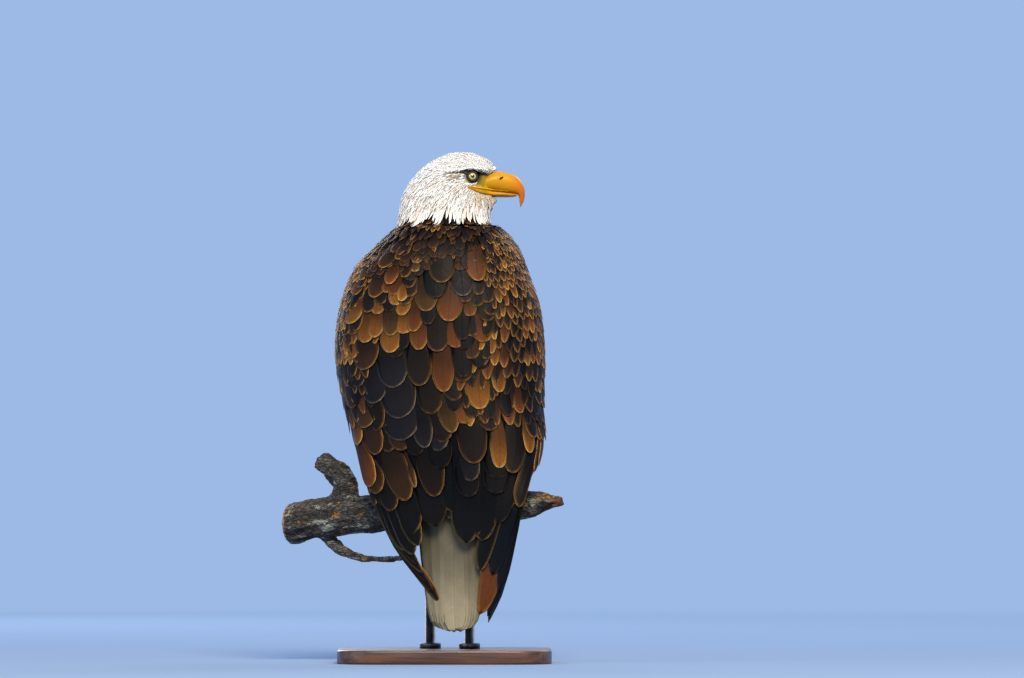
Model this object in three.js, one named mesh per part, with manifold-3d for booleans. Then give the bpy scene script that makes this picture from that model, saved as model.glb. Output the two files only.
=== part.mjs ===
// A life-size perched bald eagle on a cut length of branch, held up by a plain display stand.
// Units are millimetres and +Z is up. The origin is the middle of the stand's underside.
// The bird has its back to -Y and is turned a little to its right; its head looks along +X.
import * as THREE from "three";
import { mergeVertices } from "three/addons/utils/BufferGeometryUtils.js";
import Module from "manifold-3d";

const wasm = await Module();
wasm.setup();

// ---- driving dimensions ----
const GAP = 0.3; // clear space between pieces that meet
const BODY_YAW = THREE.MathUtils.degToRad(18); // how far the trunk is turned to its right
const GRIP_Y = 18; // the grip on the branch, ahead of the stand's middle

const NECK_BASE_Z = 698; // where the white hackles meet the brown body
const HEAD_BASE_Z = 738; // where the head sits on the neck
const WING_TOP_Z = 688; // top of the folded wing, at the shoulder
const COVERTS_END_Z = 398; // where the flight feathers take over from the coverts
const SECONDARIES_END_Z = 222; // tips of the longest inner flight feathers
const WING_TIP_Z = { left: 92, right: 64 };
const TAIL_TOP_Z = 250;
const TAIL_TIP_Z = 50;

const EYE = { x: 44, side: 25.5, z: 778, radius: 11 }; // centre of the eyeball from the head's axis
const HEAD_Y = 12; // the head's middle, ahead of the grip

const PERCH_Z = 242; // the branch's axis where the feet hold it
const PERCH_RADIUS = 29.5;
const FOOT_X = 42; // each foot from the bird's middle line
const TOE_RADIUS = { base: 7.6, end: 6 };
const TALON_LENGTH_DEG = 62; // how far a talon reaches round the branch

const BASE = { x: 340, y: 290, thickness: 22, corner: 60, bevel: 3 };
const ROD = { radius: 8, spacing: 66, x: 8, sides: 16, collar: 17, collarHeight: 9 };

const COLOUR = {
  white: 0xf1ece2,
  brown: 0x3d2615,
  wing: 0x4a2f19,
  quill: 0x1f1813,
  bill: 0xeaa51a,
  iris: 0xd9c877,
  foot: 0xe2ab21,
  talon: 0x16130f,
  bark: 0x5b5148,
  wood: 0x4b3020,
  steel: 0x35383b,
};

// ---- small tools ----

/** A smooth function of one number through rows [at, value, value...], which run upwards or downwards. */
function through(rows) {
  const keys = rows[0][0] < rows[rows.length - 1][0] ? rows : [...rows].reverse();
  const slope = (i, k) => {
    const a = keys[Math.max(i - 1, 0)];
    const b = keys[Math.min(i + 1, keys.length - 1)];
    return (b[k] - a[k]) / (b[0] - a[0]);
  };
  return (at) => {
    const t = THREE.MathUtils.clamp(at, keys[0][0], keys[keys.length - 1][0]);
    let i = 0;
    while (i < keys.length - 2 && t > keys[i + 1][0]) i++;
    const span = keys[i + 1][0] - keys[i][0];
    const s = (t - keys[i][0]) / span;
    const h = [2 * s ** 3 - 3 * s ** 2 + 1, s ** 3 - 2 * s ** 2 + s, 3 * s ** 2 - 2 * s ** 3, s ** 3 - s ** 2];
    return keys[0].slice(1).map((_, j) => {
      const k = j + 1;
      return h[0] * keys[i][k] + h[1] * span * slope(i, k) + h[2] * keys[i + 1][k] + h[3] * span * slope(i + 1, k);
    });
  };
}

/** Evenly spaced numbers from a to b, both ends included. */
function steps(a, b, count) {
  return Array.from({ length: count + 1 }, (_, i) => a + ((b - a) * i) / count);
}

/** A closed solid whose skin runs through rings of an even number of points, with both ends capped. */
function loft(rings) {
  const sides = rings[0].length;
  const index = [];
  for (let i = 0; i < rings.length - 1; i++) {
    for (let j = 0; j < sides; j++) {
      const [a, b] = [i * sides + j, i * sides + ((j + 1) % sides)];
      index.push(a, b, b + sides, a, b + sides, a + sides);
    }
  }
  const last = (rings.length - 1) * sides;
  for (let j = 0; j < sides / 2 - 1; j++) {
    const [a, b, c, d] = [j, j + 1, sides - 2 - j, sides - 1 - j];
    index.push(a, c, b, a, d, c, last + a, last + b, last + c, last + a, last + c, last + d);
  }
  const geometry = new THREE.BufferGeometry().setFromPoints(rings.flat());
  geometry.setIndex(index);
  return solidOf(geometry);
}

/** A geometry as a manifold solid, turned so that its faces point out. */
function solidOf(geometry) {
  const bare = geometry.clone();
  bare.deleteAttribute("normal");
  bare.deleteAttribute("uv");
  const merged = mergeVertices(bare, 1e-3);
  const vertProperties = new Float32Array(merged.attributes.position.array);
  const triVerts = new Uint32Array(merged.index.array);
  const made = new wasm.Manifold(new wasm.Mesh({ numProp: 3, vertProperties, triVerts }));
  if (made.volume() > 0) return made;
  triVerts.reverse();
  return new wasm.Manifold(new wasm.Mesh({ numProp: 3, vertProperties, triVerts }));
}

/** The largest single body of a solid, without stray slivers. */
function largest(solid) {
  return solid.decompose().sort((a, b) => b.volume() - a.volume())[0];
}

/** A manifold solid as a named three.js mesh. */
function meshOf(name, solid, colour, roughness = 0.8, metalness = 0) {
  const { numProp, vertProperties, triVerts, numVert } = solid.getMesh();
  const position = new Float32Array(numVert * 3);
  for (let i = 0; i < numVert; i++) {
    position.set(vertProperties.subarray(i * numProp, i * numProp + 3), i * 3);
  }
  const geometry = new THREE.BufferGeometry();
  geometry.setAttribute("position", new THREE.BufferAttribute(position, 3));
  geometry.setIndex(new THREE.BufferAttribute(new Uint32Array(triVerts), 1));
  geometry.computeVertexNormals();
  const mesh = new THREE.Mesh(geometry, new THREE.MeshStandardMaterial({ color: colour, roughness, metalness }));
  mesh.name = name;
  return mesh;
}

/** A ring round a path's point, square to the direction given. */
function ringRound(centre, along, radiusAt, sides, up = new THREE.Vector3(0, 0, 1)) {
  const side = new THREE.Vector3().crossVectors(up, along).normalize();
  const top = new THREE.Vector3().crossVectors(along, side).normalize();
  return Array.from({ length: sides }, (_, j) => {
    const turn = (2 * Math.PI * j) / sides;
    const [radius, height] = radiusAt(turn);
    return centre.clone().addScaledVector(side, radius * Math.cos(turn)).addScaledVector(top, height * Math.sin(turn));
  });
}

/** A tapered round limb along a curve; radius is a function of the share of the way and of the turn. */
function limb(points, radius, stationCount, sides, up) {
  const curve = new THREE.CatmullRomCurve3(points.map((p) => new THREE.Vector3(...p)));
  const rings = steps(0, 1, stationCount).map((t) =>
    ringRound(curve.getPointAt(t), curve.getTangentAt(t), (turn) => radius(t, turn), sides, up),
  );
  return loft(rings);
}

/** A box that keeps everything between two heights. */
function slab(low, high) {
  const size = 2000;
  const box = new THREE.BoxGeometry(size, size, high - low);
  box.translate(0, 0, (low + high) / 2);
  return solidOf(box);
}

// ---- the feathered outline: trunk and folded wings ----

// Each row: height, middle x, half width, front y, back y. The lower rows follow wings and tail,
// which swing a little to the right under the body.
const outline = through([
  [712, 3, 74, 68, -56],
  [690, 4, 95, 82, -74],
  [664, 0, 119, 98, -91],
  [634, -10, 141, 112, -103],
  [570, -12, 165, 128, -116],
  [493, -11, 173, 130, -121],
  [416, -2, 166, 112, -121],
  [340, 16, 158, 60, -113],
  [263, 28, 136, -38, -99],
  [186, 38, 110, -50, -93],
  [110, 57, 72, -60, -91],
  [60, 51, 53, -70, -90],
]);

// The trunk leaves the outline where the belly rises behind the branch to the tail's root.
const belly = through([
  [470, -10, 168, 127, -119],
  [416, -4, 150, 106, -117],
  [370, 4, 118, 82, -110],
  [340, 12, 95, 48, -103],
  [316, 18, 76, -4, -97],
  [290, 24, 66, -38, -92],
  [250, 32, 56, -47, -84],
]);

/** The point of the outline at a height; turn 0 is the back, 90 degrees the right side, 180 the front. */
function outlinePoint(rowAt, z, turn, inset = 0) {
  const [middle, half, front, back] = rowAt(z);
  const depth = (front - back) / 2;
  const centre = new THREE.Vector3(middle, (front + back) / 2, z);
  const out = new THREE.Vector3(half * Math.sin(turn), -depth * Math.cos(turn), 0);
  out.setLength(Math.max(out.length() - inset, 0.5));
  return centre.add(out);
}

/** A whole turn of the outline at a height. */
function outlineRing(rowAt, z, sides, inset = 0) {
  return Array.from({ length: sides }, (_, j) => outlinePoint(rowAt, z, (2 * Math.PI * j) / sides, inset));
}

const wingThickness = through([
  [690, 13], [640, 20], [560, 22], [480, 20], [398, 14], [300, 8], [200, 5], [110, 3], [60, 1.6],
]);

/**
 * One stretch of folded wing: a curved band that lies in the outline between two edges.
 * edges gives the inner and outer edge, in degrees round from the back; side is 1 on the right, -1 on the left.
 * As a cutter it is larger all round by the gap, and reaches well out of the body.
 */
function wingBand(side, top, bottom, edges, cutter = false) {
  const [across, down] = [7, Math.max(5, Math.round((top - bottom) / 30))];
  const [lift, room, margin] = cutter ? [12, GAP + 0.3, THREE.MathUtils.degToRad(0.5)] : [0, 0, 0];
  const rings = steps(top, bottom, down).map((z, i) => {
    const [inner, outer] = edges(z).map(THREE.MathUtils.degToRad);
    const thick = wingThickness(z)[0];
    const share = (j) => 0.16 + 0.84 * Math.sin((Math.PI * j) / across) ** 0.6;
    const turns = steps(inner, outer, across);
    turns[0] -= margin;
    turns[across] += margin;
    const height = z + (i === 0 ? room : 0) - (i === down ? room : 0);
    const outside = turns.map((turn) => outlinePoint(outline, z, side * turn, -lift).setZ(height));
    const inside = turns.map((turn, j) => outlinePoint(outline, z, side * turn, thick * share(j) + room).setZ(height));
    return [...outside, ...inside.reverse()];
  });
  return loft(rings);
}

// Inner and outer edge of the folded wing, in degrees round from the middle of the back.
const covertEdges = through([
  [690, 66, 98], [664, 52, 116], [634, 42, 124], [560, 31, 121], [480, 22, 114], [398, 11, 106],
]);
const secondaryEdges = through([[398, 11, 60], [340, 5, 57], [290, 3, 54], [250, 5, 49], [222, 14, 38]]);
const primaryEdges = {
  left: through([[398, 61, 106], [340, 58, 100], [263, 52, 93], [186, 44, 88], [135, 43, 81], [109, 38, 70], [92, 34, 39]]),
  right: through([[398, 61, 106], [340, 58, 100], [263, 52, 93], [186, 47, 90], [120, 46, 90], [84, 48, 86], [64, 56, 66]]),
};

function makeWing(name) {
  const side = name === "right" ? 1 : -1;
  const inner = wingBand(side, COVERTS_END_Z - GAP, SECONDARIES_END_Z, secondaryEdges);
  const outer = wingBand(side, COVERTS_END_Z - GAP, WING_TIP_Z[name], primaryEdges[name]);
  const coverts = wingBand(side, WING_TOP_Z, COVERTS_END_Z, covertEdges);
  return [
    meshOf(`wing_${name}_coverts`, coverts, COLOUR.wing),
    meshOf(`wing_${name}_secondaries`, inner, COLOUR.quill),
    meshOf(`wing_${name}_primaries`, outer, COLOUR.quill),
  ];
}

/** The trunk before the wings are let into it. */
function trunkHull(grow = 0) {
  const sides = 24;
  const upper = steps(NECK_BASE_Z - GAP, 470, 8).map((z) => outlineRing(outline, z, sides, -grow));
  const lower = steps(450, TAIL_TOP_Z + GAP, 8).map((z) => outlineRing(belly, z, sides, -grow));
  return loft([...upper, ...lower]);
}

function makeTrunk() {
  let trunk = trunkHull();
  for (const side of [1, -1]) {
    const primaries = primaryEdges[side > 0 ? "right" : "left"];
    trunk = trunk.subtract(wingBand(side, WING_TOP_Z, COVERTS_END_Z, covertEdges, true));
    trunk = trunk.subtract(wingBand(side, COVERTS_END_Z - GAP, SECONDARIES_END_Z, secondaryEdges, true));
    trunk = trunk.subtract(wingBand(side, COVERTS_END_Z - GAP, WING_TIP_Z.left, primaries, true));
  }
  return largest(trunk);
}

// ---- tail ----

// Each row: height, middle x, half width, middle y, half thickness, bow of the fan.
const tailRow = through([
  [250, 32, 56, -65.5, 9, 3],
  [200, 38, 62, -73, 5.5, 4],
  [110, 42, 61, -80, 3, 4],
  [75, 44, 52, -83, 2, 3],
  [50, 46, 33, -84.5, 1.2, 1],
]);

function makeTail() {
  const across = 8;
  const rings = steps(TAIL_TOP_Z, TAIL_TIP_Z, 8).map((z) => {
    const [middle, half, y, thick, bow] = tailRow(z);
    const place = (u, face) => {
      const round = Math.sqrt(1 - 0.82 * u * u);
      return new THREE.Vector3(middle + half * u, y + bow * u * u + face * thick * round, z);
    };
    const back = steps(-1, 1, across).map((u) => place(u, -1));
    const front = steps(1, -1, across).map((u) => place(u, 1));
    return [...back, ...front];
  });
  return loft(rings);
}

// ---- head, neck and bill, in the head's own frame: it looks along +X ----

// Each row: height, back x, front x, half width, how much the face narrows to the bill.
const headRow = through([
  [698, -76, 74, 64, 0.05],
  [711, -75, 71, 60, 0.08],
  [724, -75, 74, 56, 0.16],
  [736, -73, 81, 53, 0.3],
  [748, -69, 86, 50.5, 0.42],
  [762, -64, 87, 48, 0.5],
  [775, -55, 86, 45.5, 0.48],
  [788, -44, 82, 42.5, 0.42],
  [800, -29, 71, 36, 0.3],
  [811, -10, 58, 24.5, 0.2],
  [818, 8, 45, 12, 0.1],
]);

/** A level slice of head or neck: round behind, narrowing forwards to the bill. */
function headRing(z, sides, grow = 0) {
  const [back, front, half, narrow] = headRow(z);
  const [middle, reach] = [(back + front) / 2, (front - back) / 2 + grow];
  return Array.from({ length: sides }, (_, j) => {
    const turn = (2 * Math.PI * j) / sides;
    const ahead = Math.max(Math.cos(turn), 0) ** 1.4;
    const y = (half + grow) * Math.sin(turn) * (1 - narrow * ahead);
    return new THREE.Vector3(middle + reach * Math.cos(turn), y, z);
  });
}

/** A bill half: rings between a curve along its top and one along its bottom, in the plane y = 0. */
function billHalf(top, bottom, halfWidth, stationCount, sides, grow = 0, squareness = 1) {
  const [upper, lower] = [top, bottom].map((line) => new THREE.CatmullRomCurve3(line.map(([x, z]) => new THREE.Vector3(x, 0, z))));
  const rings = steps(0, 1, stationCount).map((t) => {
    const [a, b] = [upper.getPoint(t), lower.getPoint(t)];
    const middle = a.clone().add(b).divideScalar(2);
    const arm = a.clone().sub(middle);
    arm.setLength(arm.length() + grow);
    const width = halfWidth(t)[0] + grow;
    return Array.from({ length: sides }, (_, j) => {
      const turn = (2 * Math.PI * j) / sides;
      const s = Math.sign(Math.sin(turn)) * Math.abs(Math.sin(turn)) ** squareness;
      return middle.clone().addScaledVector(arm, Math.cos(turn)).add(new THREE.Vector3(0, width * s, 0));
    });
  });
  return loft(rings);
}

const BILL = {
  culmen: [[68, 789.5], [81, 788], [96, 787], [109, 783.5], [120, 776.5], [126.5, 765], [128.6, 752], [126, 740], [120.8, 730.6]],
  edge: [[60, 757], [72, 753], [85, 751.5], [97, 750], [107, 748.5], [114, 747.5], [117.5, 745.5], [118.6, 739.5], [119.8, 730.2]],
  width: [[0, 19.5], [0.125, 18], [0.25, 16.6], [0.4, 14.6], [0.55, 12.2], [0.7, 9], [0.85, 5.2], [1, 0.9]],
  jawTop: [[52, 756], [72, 752], [85, 750.7], [97, 749.2], [107, 747.7], [114.5, 746.6]],
  jawBottom: [[54, 744], [72, 741.5], [85, 740.8], [97, 741], [107, 742.4], [114.5, 745]],
  jawWidth: [[0, 17], [0.4, 15.2], [0.7, 12.5], [0.9, 9], [1, 6.4]],
};

function upperBill(grow = 0) {
  return billHalf(BILL.culmen, BILL.edge, through(BILL.width), 13, 12, grow, 0.8);
}

function lowerBill(grow = 0) {
  return billHalf(BILL.jawTop, BILL.jawBottom, through(BILL.jawWidth), 6, 10, grow, 0.7);
}

/** A ball, or an egg when stretched, as a solid. */
function ball(radius, [x, y, z], detail = 12, stretch = [1, 1, 1], lean = 0) {
  const geometry = new THREE.SphereGeometry(radius, detail, Math.round(detail / 2) + 1);
  geometry.scale(...stretch);
  geometry.rotateY(lean);
  geometry.translate(x, y, z);
  return solidOf(geometry);
}

function makeHead() {
  const sides = 20;
  const whole = loft(steps(NECK_BASE_Z, 818, 11).map((z) => headRing(z, sides)));
  const brow = (side) => ball(10, [EYE.x + 5, side * 27, EYE.z + 10.5], 10, [2.1, 0.95, 0.5], 0.22);
  let full = whole.add(brow(1)).add(brow(-1));
  for (const side of [1, -1]) {
    full = full.subtract(ball(EYE.radius + GAP, [EYE.x, side * EYE.side, EYE.z], 14));
    full = full.subtract(ball(9.5, [EYE.x + 1, side * (EYE.side + 13), EYE.z - 0.5], 10, [1.25, 0.8, 0.95], 0.1));
  }
  const upper = upperBill();
  const lower = lowerBill().subtract(upperBill(GAP));
  const mouth = upperBill(GAP).add(lowerBill(GAP));
  const head = full.subtract(mouth).intersect(slab(HEAD_BASE_Z + GAP, 900));
  const neck = full.subtract(mouth).intersect(slab(NECK_BASE_Z, HEAD_BASE_Z));
  const group = new THREE.Group();
  group.add(meshOf("head", head, COLOUR.white));
  group.add(meshOf("neck", neck, COLOUR.white));
  group.add(meshOf("bill_upper", upper, COLOUR.bill, 0.4));
  group.add(meshOf("bill_lower", lower, COLOUR.bill, 0.45));
  for (const [name, side] of [["right", -1], ["left", 1]]) {
    const eye = ball(EYE.radius, [EYE.x, side * EYE.side, EYE.z], 14);
    group.add(meshOf(`eye_${name}`, eye, COLOUR.iris, 0.1));
  }
  return group;
}

// ---- the branch ----

// Each row: distance along x from the grip, axis height, radius.
const perchRow = through([
  [-268, 222, 31.5],
  [-205, 233, 33],
  [-140, 237, 30.5],
  [-70, 240, PERCH_RADIUS],
  [0, PERCH_Z, PERCH_RADIUS],
  [70, 245, PERCH_RADIUS - 1],
  [120, 250, 24],
  [150, 254, 19],
  [176, 257, 14.5],
  [199, 258, 6.5],
]);

/** Low lumps on the bark, which fade out where the feet grip. */
function lumps(x, turn) {
  const away = THREE.MathUtils.smoothstep(Math.abs(x), 85, 135);
  return away * (1.4 * Math.sin(3 * turn + x / 19) + 1.1 * Math.sin(2 * turn - x / 11) + 0.8 * Math.sin(x / 7));
}

/** The branch itself, cut at its left end and broken off at its right. */
function branch(grow = 0) {
  const along = new THREE.Vector3(1, 0, 0.03).normalize();
  const rings = steps(-268, 199, 19).map((x) => {
    const [z, radius] = perchRow(x);
    const reach = (turn) => {
      const r = Math.max(radius + lumps(x, turn), 5) + grow;
      return [r, r];
    };
    return ringRound(new THREE.Vector3(x, 0, z), along, reach, 12);
  });
  return loft(rings);
}

/** The branch with the cut stub of its fork and one small side twig. */
function makePerch() {
  const stubPath = [[-180, 0, 240], [-172, 2, 264], [-170, 4, 286], [-190, 6, 308], [-216, 8, 324]];
  const stub = limb(stubPath, (t) => [25 - 8 * t, 25 - 8 * t], 6, 10, new THREE.Vector3(0, 1, 0));
  const twigPath = [[-228, 4, 222], [-196, 7, 192], [-160, 8, 172], [-126, 8, 163], [-90, 6, 164], [-72, 5, 166]];
  const twigRadius = (t) => 13 - 7 * Math.min(t * 1.6, 1);
  const twig = limb(twigPath, (t) => [twigRadius(t), twigRadius(t)], 8, 8);
  return meshOf("perch", branch().add(stub).add(twig), COLOUR.bark, 0.9);
}

// ---- legs ----

function makeLeg(name, trunkRoom, perchRoom) {
  const side = name === "right" ? 1 : -1;
  const x = side * FOOT_X;
  const ankleZ = 316;
  const soleZ = PERCH_Z + PERCH_RADIUS + 11;
  const thighPath = [[x * 1.15, 34, 430], [x * 1.15, 32, 385], [x * 1.08, 22, 350], [x, 8, ankleZ]];
  const thighRadius = through([[0, 40, 46], [0.4, 42, 46], [0.75, 31, 33], [1, 16, 17]]);
  const forward = new THREE.Vector3(0, 1, 0);
  const thighShape = limb(thighPath, (t) => thighRadius(t), 6, 14, forward).subtract(trunkRoom);
  const thigh = thighShape.intersect(slab(ankleZ + GAP, 700));
  const shankPath = [[x, 8.5, ankleZ + 6], [x, 4, 302], [x, 0, soleZ - 2]];
  const shank = limb(shankPath, (t) => [9 + t * 1.5, 9.5 + t * 1.5], 2, 10, forward);

  const arc = (spread, way) => (turn, lift) => {
    const radius = PERCH_RADIUS + lift;
    const out = Math.tan(THREE.MathUtils.degToRad(spread)) * radius * turn;
    return [x + out, way * radius * Math.sin(turn), PERCH_Z + radius * Math.cos(turn)];
  };
  let foot = ball(15, [x, 0, soleZ - 2], 8, [1, 1.15, 0.72]).add(shank);
  const talons = [];
  const toes = [["inner", -side * 26, 1, 72], ["middle", 0, 1, 88], ["outer", side * 28, 1, 76], ["hind", 0, -1, 58]];
  for (const [toe, spread, way, reachDeg] of toes) {
    const place = arc(spread, way);
    const reach = THREE.MathUtils.degToRad(reachDeg);
    const path = steps(0.1, reach, 5).map((turn) => place(turn, TOE_RADIUS.base + 1));
    const knuckle = (t) => TOE_RADIUS.base + (TOE_RADIUS.end - TOE_RADIUS.base) * t + 0.6 * Math.cos(14 * t);
    foot = foot.add(limb(path, (t) => [knuckle(t), knuckle(t)], 4, 7, new THREE.Vector3(1, 0, 0)));
    const end = reach + THREE.MathUtils.degToRad(TALON_LENGTH_DEG);
    const start = reach + 0.3 / PERCH_RADIUS + 0.02;
    const talonLift = (turn) => 7.2 - 3.4 * ((turn - start) / (end - start)) + 5 * Math.sin((Math.PI * (turn - start)) / (end - start));
    const talonPath = steps(start, end, 5).map((turn) => place(turn, talonLift(turn)));
    const talon = limb(talonPath, (t) => [5.4 * (1 - t) ** 0.8 + 0.5, 5.8 * (1 - t) ** 0.8 + 0.5], 4, 6, new THREE.Vector3(1, 0, 0));
    talons.push([`talon_${name}_${toe}`, talon]);
  }
  foot = foot.subtract(perchRoom).intersect(slab(0, ankleZ));
  const claws = talons.map(([node, talon]) => meshOf(node, talon.subtract(perchRoom).subtract(foot), COLOUR.talon, 0.35));
  return [
    meshOf(`thigh_${name}`, thigh, COLOUR.brown),
    meshOf(`foot_${name}`, foot, COLOUR.foot, 0.6),
    ...claws,
  ];
}

// ---- display stand ----

function makeStand(perchRoom) {
  const { x, y, corner, thickness, bevel } = BASE;
  const shape = new THREE.Shape();
  const [w, h] = [x / 2 - bevel, y / 2 - bevel];
  shape.moveTo(-w + corner, -h);
  shape.lineTo(w - corner, -h);
  shape.absarc(w - corner, -h + corner, corner, -Math.PI / 2, 0);
  shape.lineTo(w, h - corner);
  shape.absarc(w - corner, h - corner, corner, 0, Math.PI / 2);
  shape.lineTo(-w + corner, h);
  shape.absarc(-w + corner, h - corner, corner, Math.PI / 2, Math.PI);
  shape.lineTo(-w, -h + corner);
  shape.absarc(-w + corner, -h + corner, corner, Math.PI, 1.5 * Math.PI);
  const depth = thickness - 2 * bevel;
  const options = { depth, bevelThickness: bevel, bevelSize: bevel, bevelSegments: 1, curveSegments: 5 };
  const plate = new THREE.ExtrudeGeometry(shape, options);
  plate.translate(0, 0, bevel);
  const pieces = [meshOf("stand_base", solidOf(plate), COLOUR.wood, 0.5)];
  for (const [name, side] of [["left", -1], ["right", 1]]) {
    const rodX = ROD.x + (side * ROD.spacing) / 2;
    const profile = [
      [0, thickness + GAP], [ROD.collar, thickness + GAP], [ROD.collar, thickness + ROD.collarHeight - 2],
      [ROD.collar - 2, thickness + ROD.collarHeight], [ROD.radius, thickness + ROD.collarHeight], [ROD.radius, PERCH_Z], [0, PERCH_Z],
    ];
    const rod = new THREE.LatheGeometry(profile.map(([r, z]) => new THREE.Vector2(r, z)), ROD.sides);
    rod.rotateX(Math.PI / 2);
    rod.translate(rodX * Math.cos(BODY_YAW), GRIP_Y - rodX * Math.sin(BODY_YAW), 0);
    pieces.push(meshOf(`stand_rod_${name}`, solidOf(rod).subtract(perchRoom), COLOUR.steel, 0.35, 0.8));
  }
  return pieces;
}

// ---- assembly ----

const trunk = makeTrunk();
const perchRoom = branch(GAP);

const bird = new THREE.Group();
bird.rotation.z = -BODY_YAW;
bird.position.y = GRIP_Y;
bird.add(meshOf("trunk", trunk, COLOUR.brown));
bird.add(...makeWing("left"), ...makeWing("right"));
bird.add(meshOf("tail", makeTail(), COLOUR.white));
const trunkRoom = trunkHull(GAP + 0.2);
bird.add(...makeLeg("left", trunkRoom, perchRoom), ...makeLeg("right", trunkRoom, perchRoom));
bird.add(makePerch());

const headGroup = makeHead();
headGroup.position.set(0, GRIP_Y + HEAD_Y, 0);

const worldPerchRoom = perchRoom.rotate([0, 0, THREE.MathUtils.radToDeg(-BODY_YAW)]).translate([0, GRIP_Y, 0]);

const eagle = new THREE.Group();
eagle.add(bird, headGroup, ...makeStand(worldPerchRoom));

export default eagle;
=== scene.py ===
"""A life-size perched bald eagle as a museum model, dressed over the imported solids."""
import logging
import math
from collections.abc import Callable, Iterable, Sequence
from dataclasses import dataclass, field
from enum import Enum

import bmesh
import bpy
import numpy as np
from mathutils import Matrix, Vector, noise
from mathutils.bvhtree import BVHTree


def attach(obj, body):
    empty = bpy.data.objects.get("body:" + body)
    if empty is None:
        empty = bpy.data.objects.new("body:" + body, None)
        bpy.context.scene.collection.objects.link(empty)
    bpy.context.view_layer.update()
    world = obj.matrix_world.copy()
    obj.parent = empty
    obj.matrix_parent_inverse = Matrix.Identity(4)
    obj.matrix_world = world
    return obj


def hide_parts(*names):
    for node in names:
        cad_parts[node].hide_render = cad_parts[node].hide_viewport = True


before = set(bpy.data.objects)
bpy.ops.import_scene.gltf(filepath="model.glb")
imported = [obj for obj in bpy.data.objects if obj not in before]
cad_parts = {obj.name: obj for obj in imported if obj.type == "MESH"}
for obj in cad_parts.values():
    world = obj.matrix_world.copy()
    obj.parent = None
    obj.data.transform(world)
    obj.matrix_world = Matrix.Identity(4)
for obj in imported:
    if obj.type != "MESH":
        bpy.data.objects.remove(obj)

log = logging.getLogger("eagle")

Array = np.ndarray
Colour = tuple[float, float, float]

MM = 0.001
BODY_YAW = math.radians(18)  # how far the body is turned to its right
GRIP = np.array((0.0, 18, 0.0)) * MM  # the grip on the branch
HEAD = np.array((0.0, 30, 0.0)) * MM  # the head's own origin; it looks along +X
PERCH_AXIS = np.array((0.0, 0.0, 242)) * MM
UP = Vector((0, 0, 1))


# ---- small tools ----


def linear(red: float, green: float, blue: float) -> Colour:
    """A display colour, 0 to 255, as linear light.

    Args:
        red: Red, 0 to 255.
        green: Green, 0 to 255.
        blue: Blue, 0 to 255.

    Returns:
        The three linear values, 0 to 1.
    """
    def one(value: float) -> float:
        """One channel as linear light."""
        share = value / 255
        return share / 12.92 if share <= 0.04045 else ((share + 0.055) / 1.055) ** 2.4
    return one(red), one(green), one(blue)


def smooth(low: float, high: float, value: Array | float) -> Array:
    """A soft step from 0 at low to 1 at high."""
    share = np.clip((np.asarray(value, float) - low) / (high - low), 0, 1)
    return share * share * (3 - 2 * share)


def unit(vectors: Array) -> Array:
    """Vectors scaled to length 1 along the last axis."""
    return vectors / np.maximum(np.linalg.norm(vectors, axis=-1, keepdims=True), 1e-12)


def turned(vectors: Array, angle: float) -> Array:
    """Vectors turned about the upright axis."""
    cos, sin = math.cos(angle), math.sin(angle)
    x, y = vectors[..., 0], vectors[..., 1]
    return np.stack((x * cos - y * sin, x * sin + y * cos, vectors[..., 2]), -1)


def to_world(points: Array) -> Array:
    """Points of the turned body's frame in the row's frame."""
    return turned(points, -BODY_YAW) + GRIP


def to_body(points: Array) -> Array:
    """Points of the row's frame in the turned body's frame."""
    return turned(points - GRIP, BODY_YAW)


@dataclass(frozen=True)
class Track:
    """A smooth function of one number through given rows.

    Attributes:
        rows: Each row is the place, then the values there.
    """

    rows: tuple[tuple[float, ...], ...]

    def __call__(self, at: Array | float) -> Array:
        """The values at one or many places.

        Args:
            at: Places.

        Returns:
            Values, with one more axis than at.
        """
        table = np.array(sorted(self.rows), float)
        keys, values = table[:, 0], table[:, 1:]
        place = np.clip(np.asarray(at, float), keys[0], keys[-1])
        low = np.clip(np.searchsorted(keys, place, side="right") - 1, 0, len(keys) - 2)
        before = np.maximum(np.arange(len(keys)) - 1, 0)
        after = np.minimum(np.arange(len(keys)) + 1, len(keys) - 1)
        slope = (values[after] - values[before]) / (keys[after] - keys[before])[:, None]
        span = (keys[low + 1] - keys[low])[..., None]
        s = ((place - keys[low]) / (keys[low + 1] - keys[low]))[..., None]
        rising = (2 * s**3 - 3 * s**2 + 1) * values[low] + (s**3 - 2 * s**2 + s) * span * slope[low]
        return rising + (3 * s**2 - 2 * s**3) * values[low + 1] + (s**3 - s**2) * span * slope[low + 1]

    def one(self, at: Array | float) -> Array:
        """The first value alone."""
        return self(at)[..., 0]


def linked(name: str, mesh: bpy.types.Mesh) -> bpy.types.Object:
    """A mesh as an object of the scene."""
    piece = bpy.data.objects.new(name, mesh)
    bpy.context.scene.collection.objects.link(piece)
    return piece


def read_points(mesh: bpy.types.Mesh, key: str = "co") -> Array:
    """A mesh's vertex places, or normals."""
    flat = np.empty(len(mesh.vertices) * 3, np.float32)
    mesh.vertices.foreach_get(key, flat)
    return flat.reshape(-1, 3).astype(float)


def write_points(mesh: bpy.types.Mesh, points: Array) -> None:
    """Moves a mesh's vertices."""
    mesh.vertices.foreach_set("co", points.astype(np.float32).ravel())
    mesh.update()


def give_colour(mesh: bpy.types.Mesh, name: str, colours: Array) -> None:
    """Writes a colour for each vertex."""
    made = mesh.attributes.new(name, "FLOAT_COLOR", "POINT")
    full = np.concatenate((np.clip(colours, 0, 1), np.ones((len(colours), 1))), 1)
    made.data.foreach_set("color", full.astype(np.float32).ravel())


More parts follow.
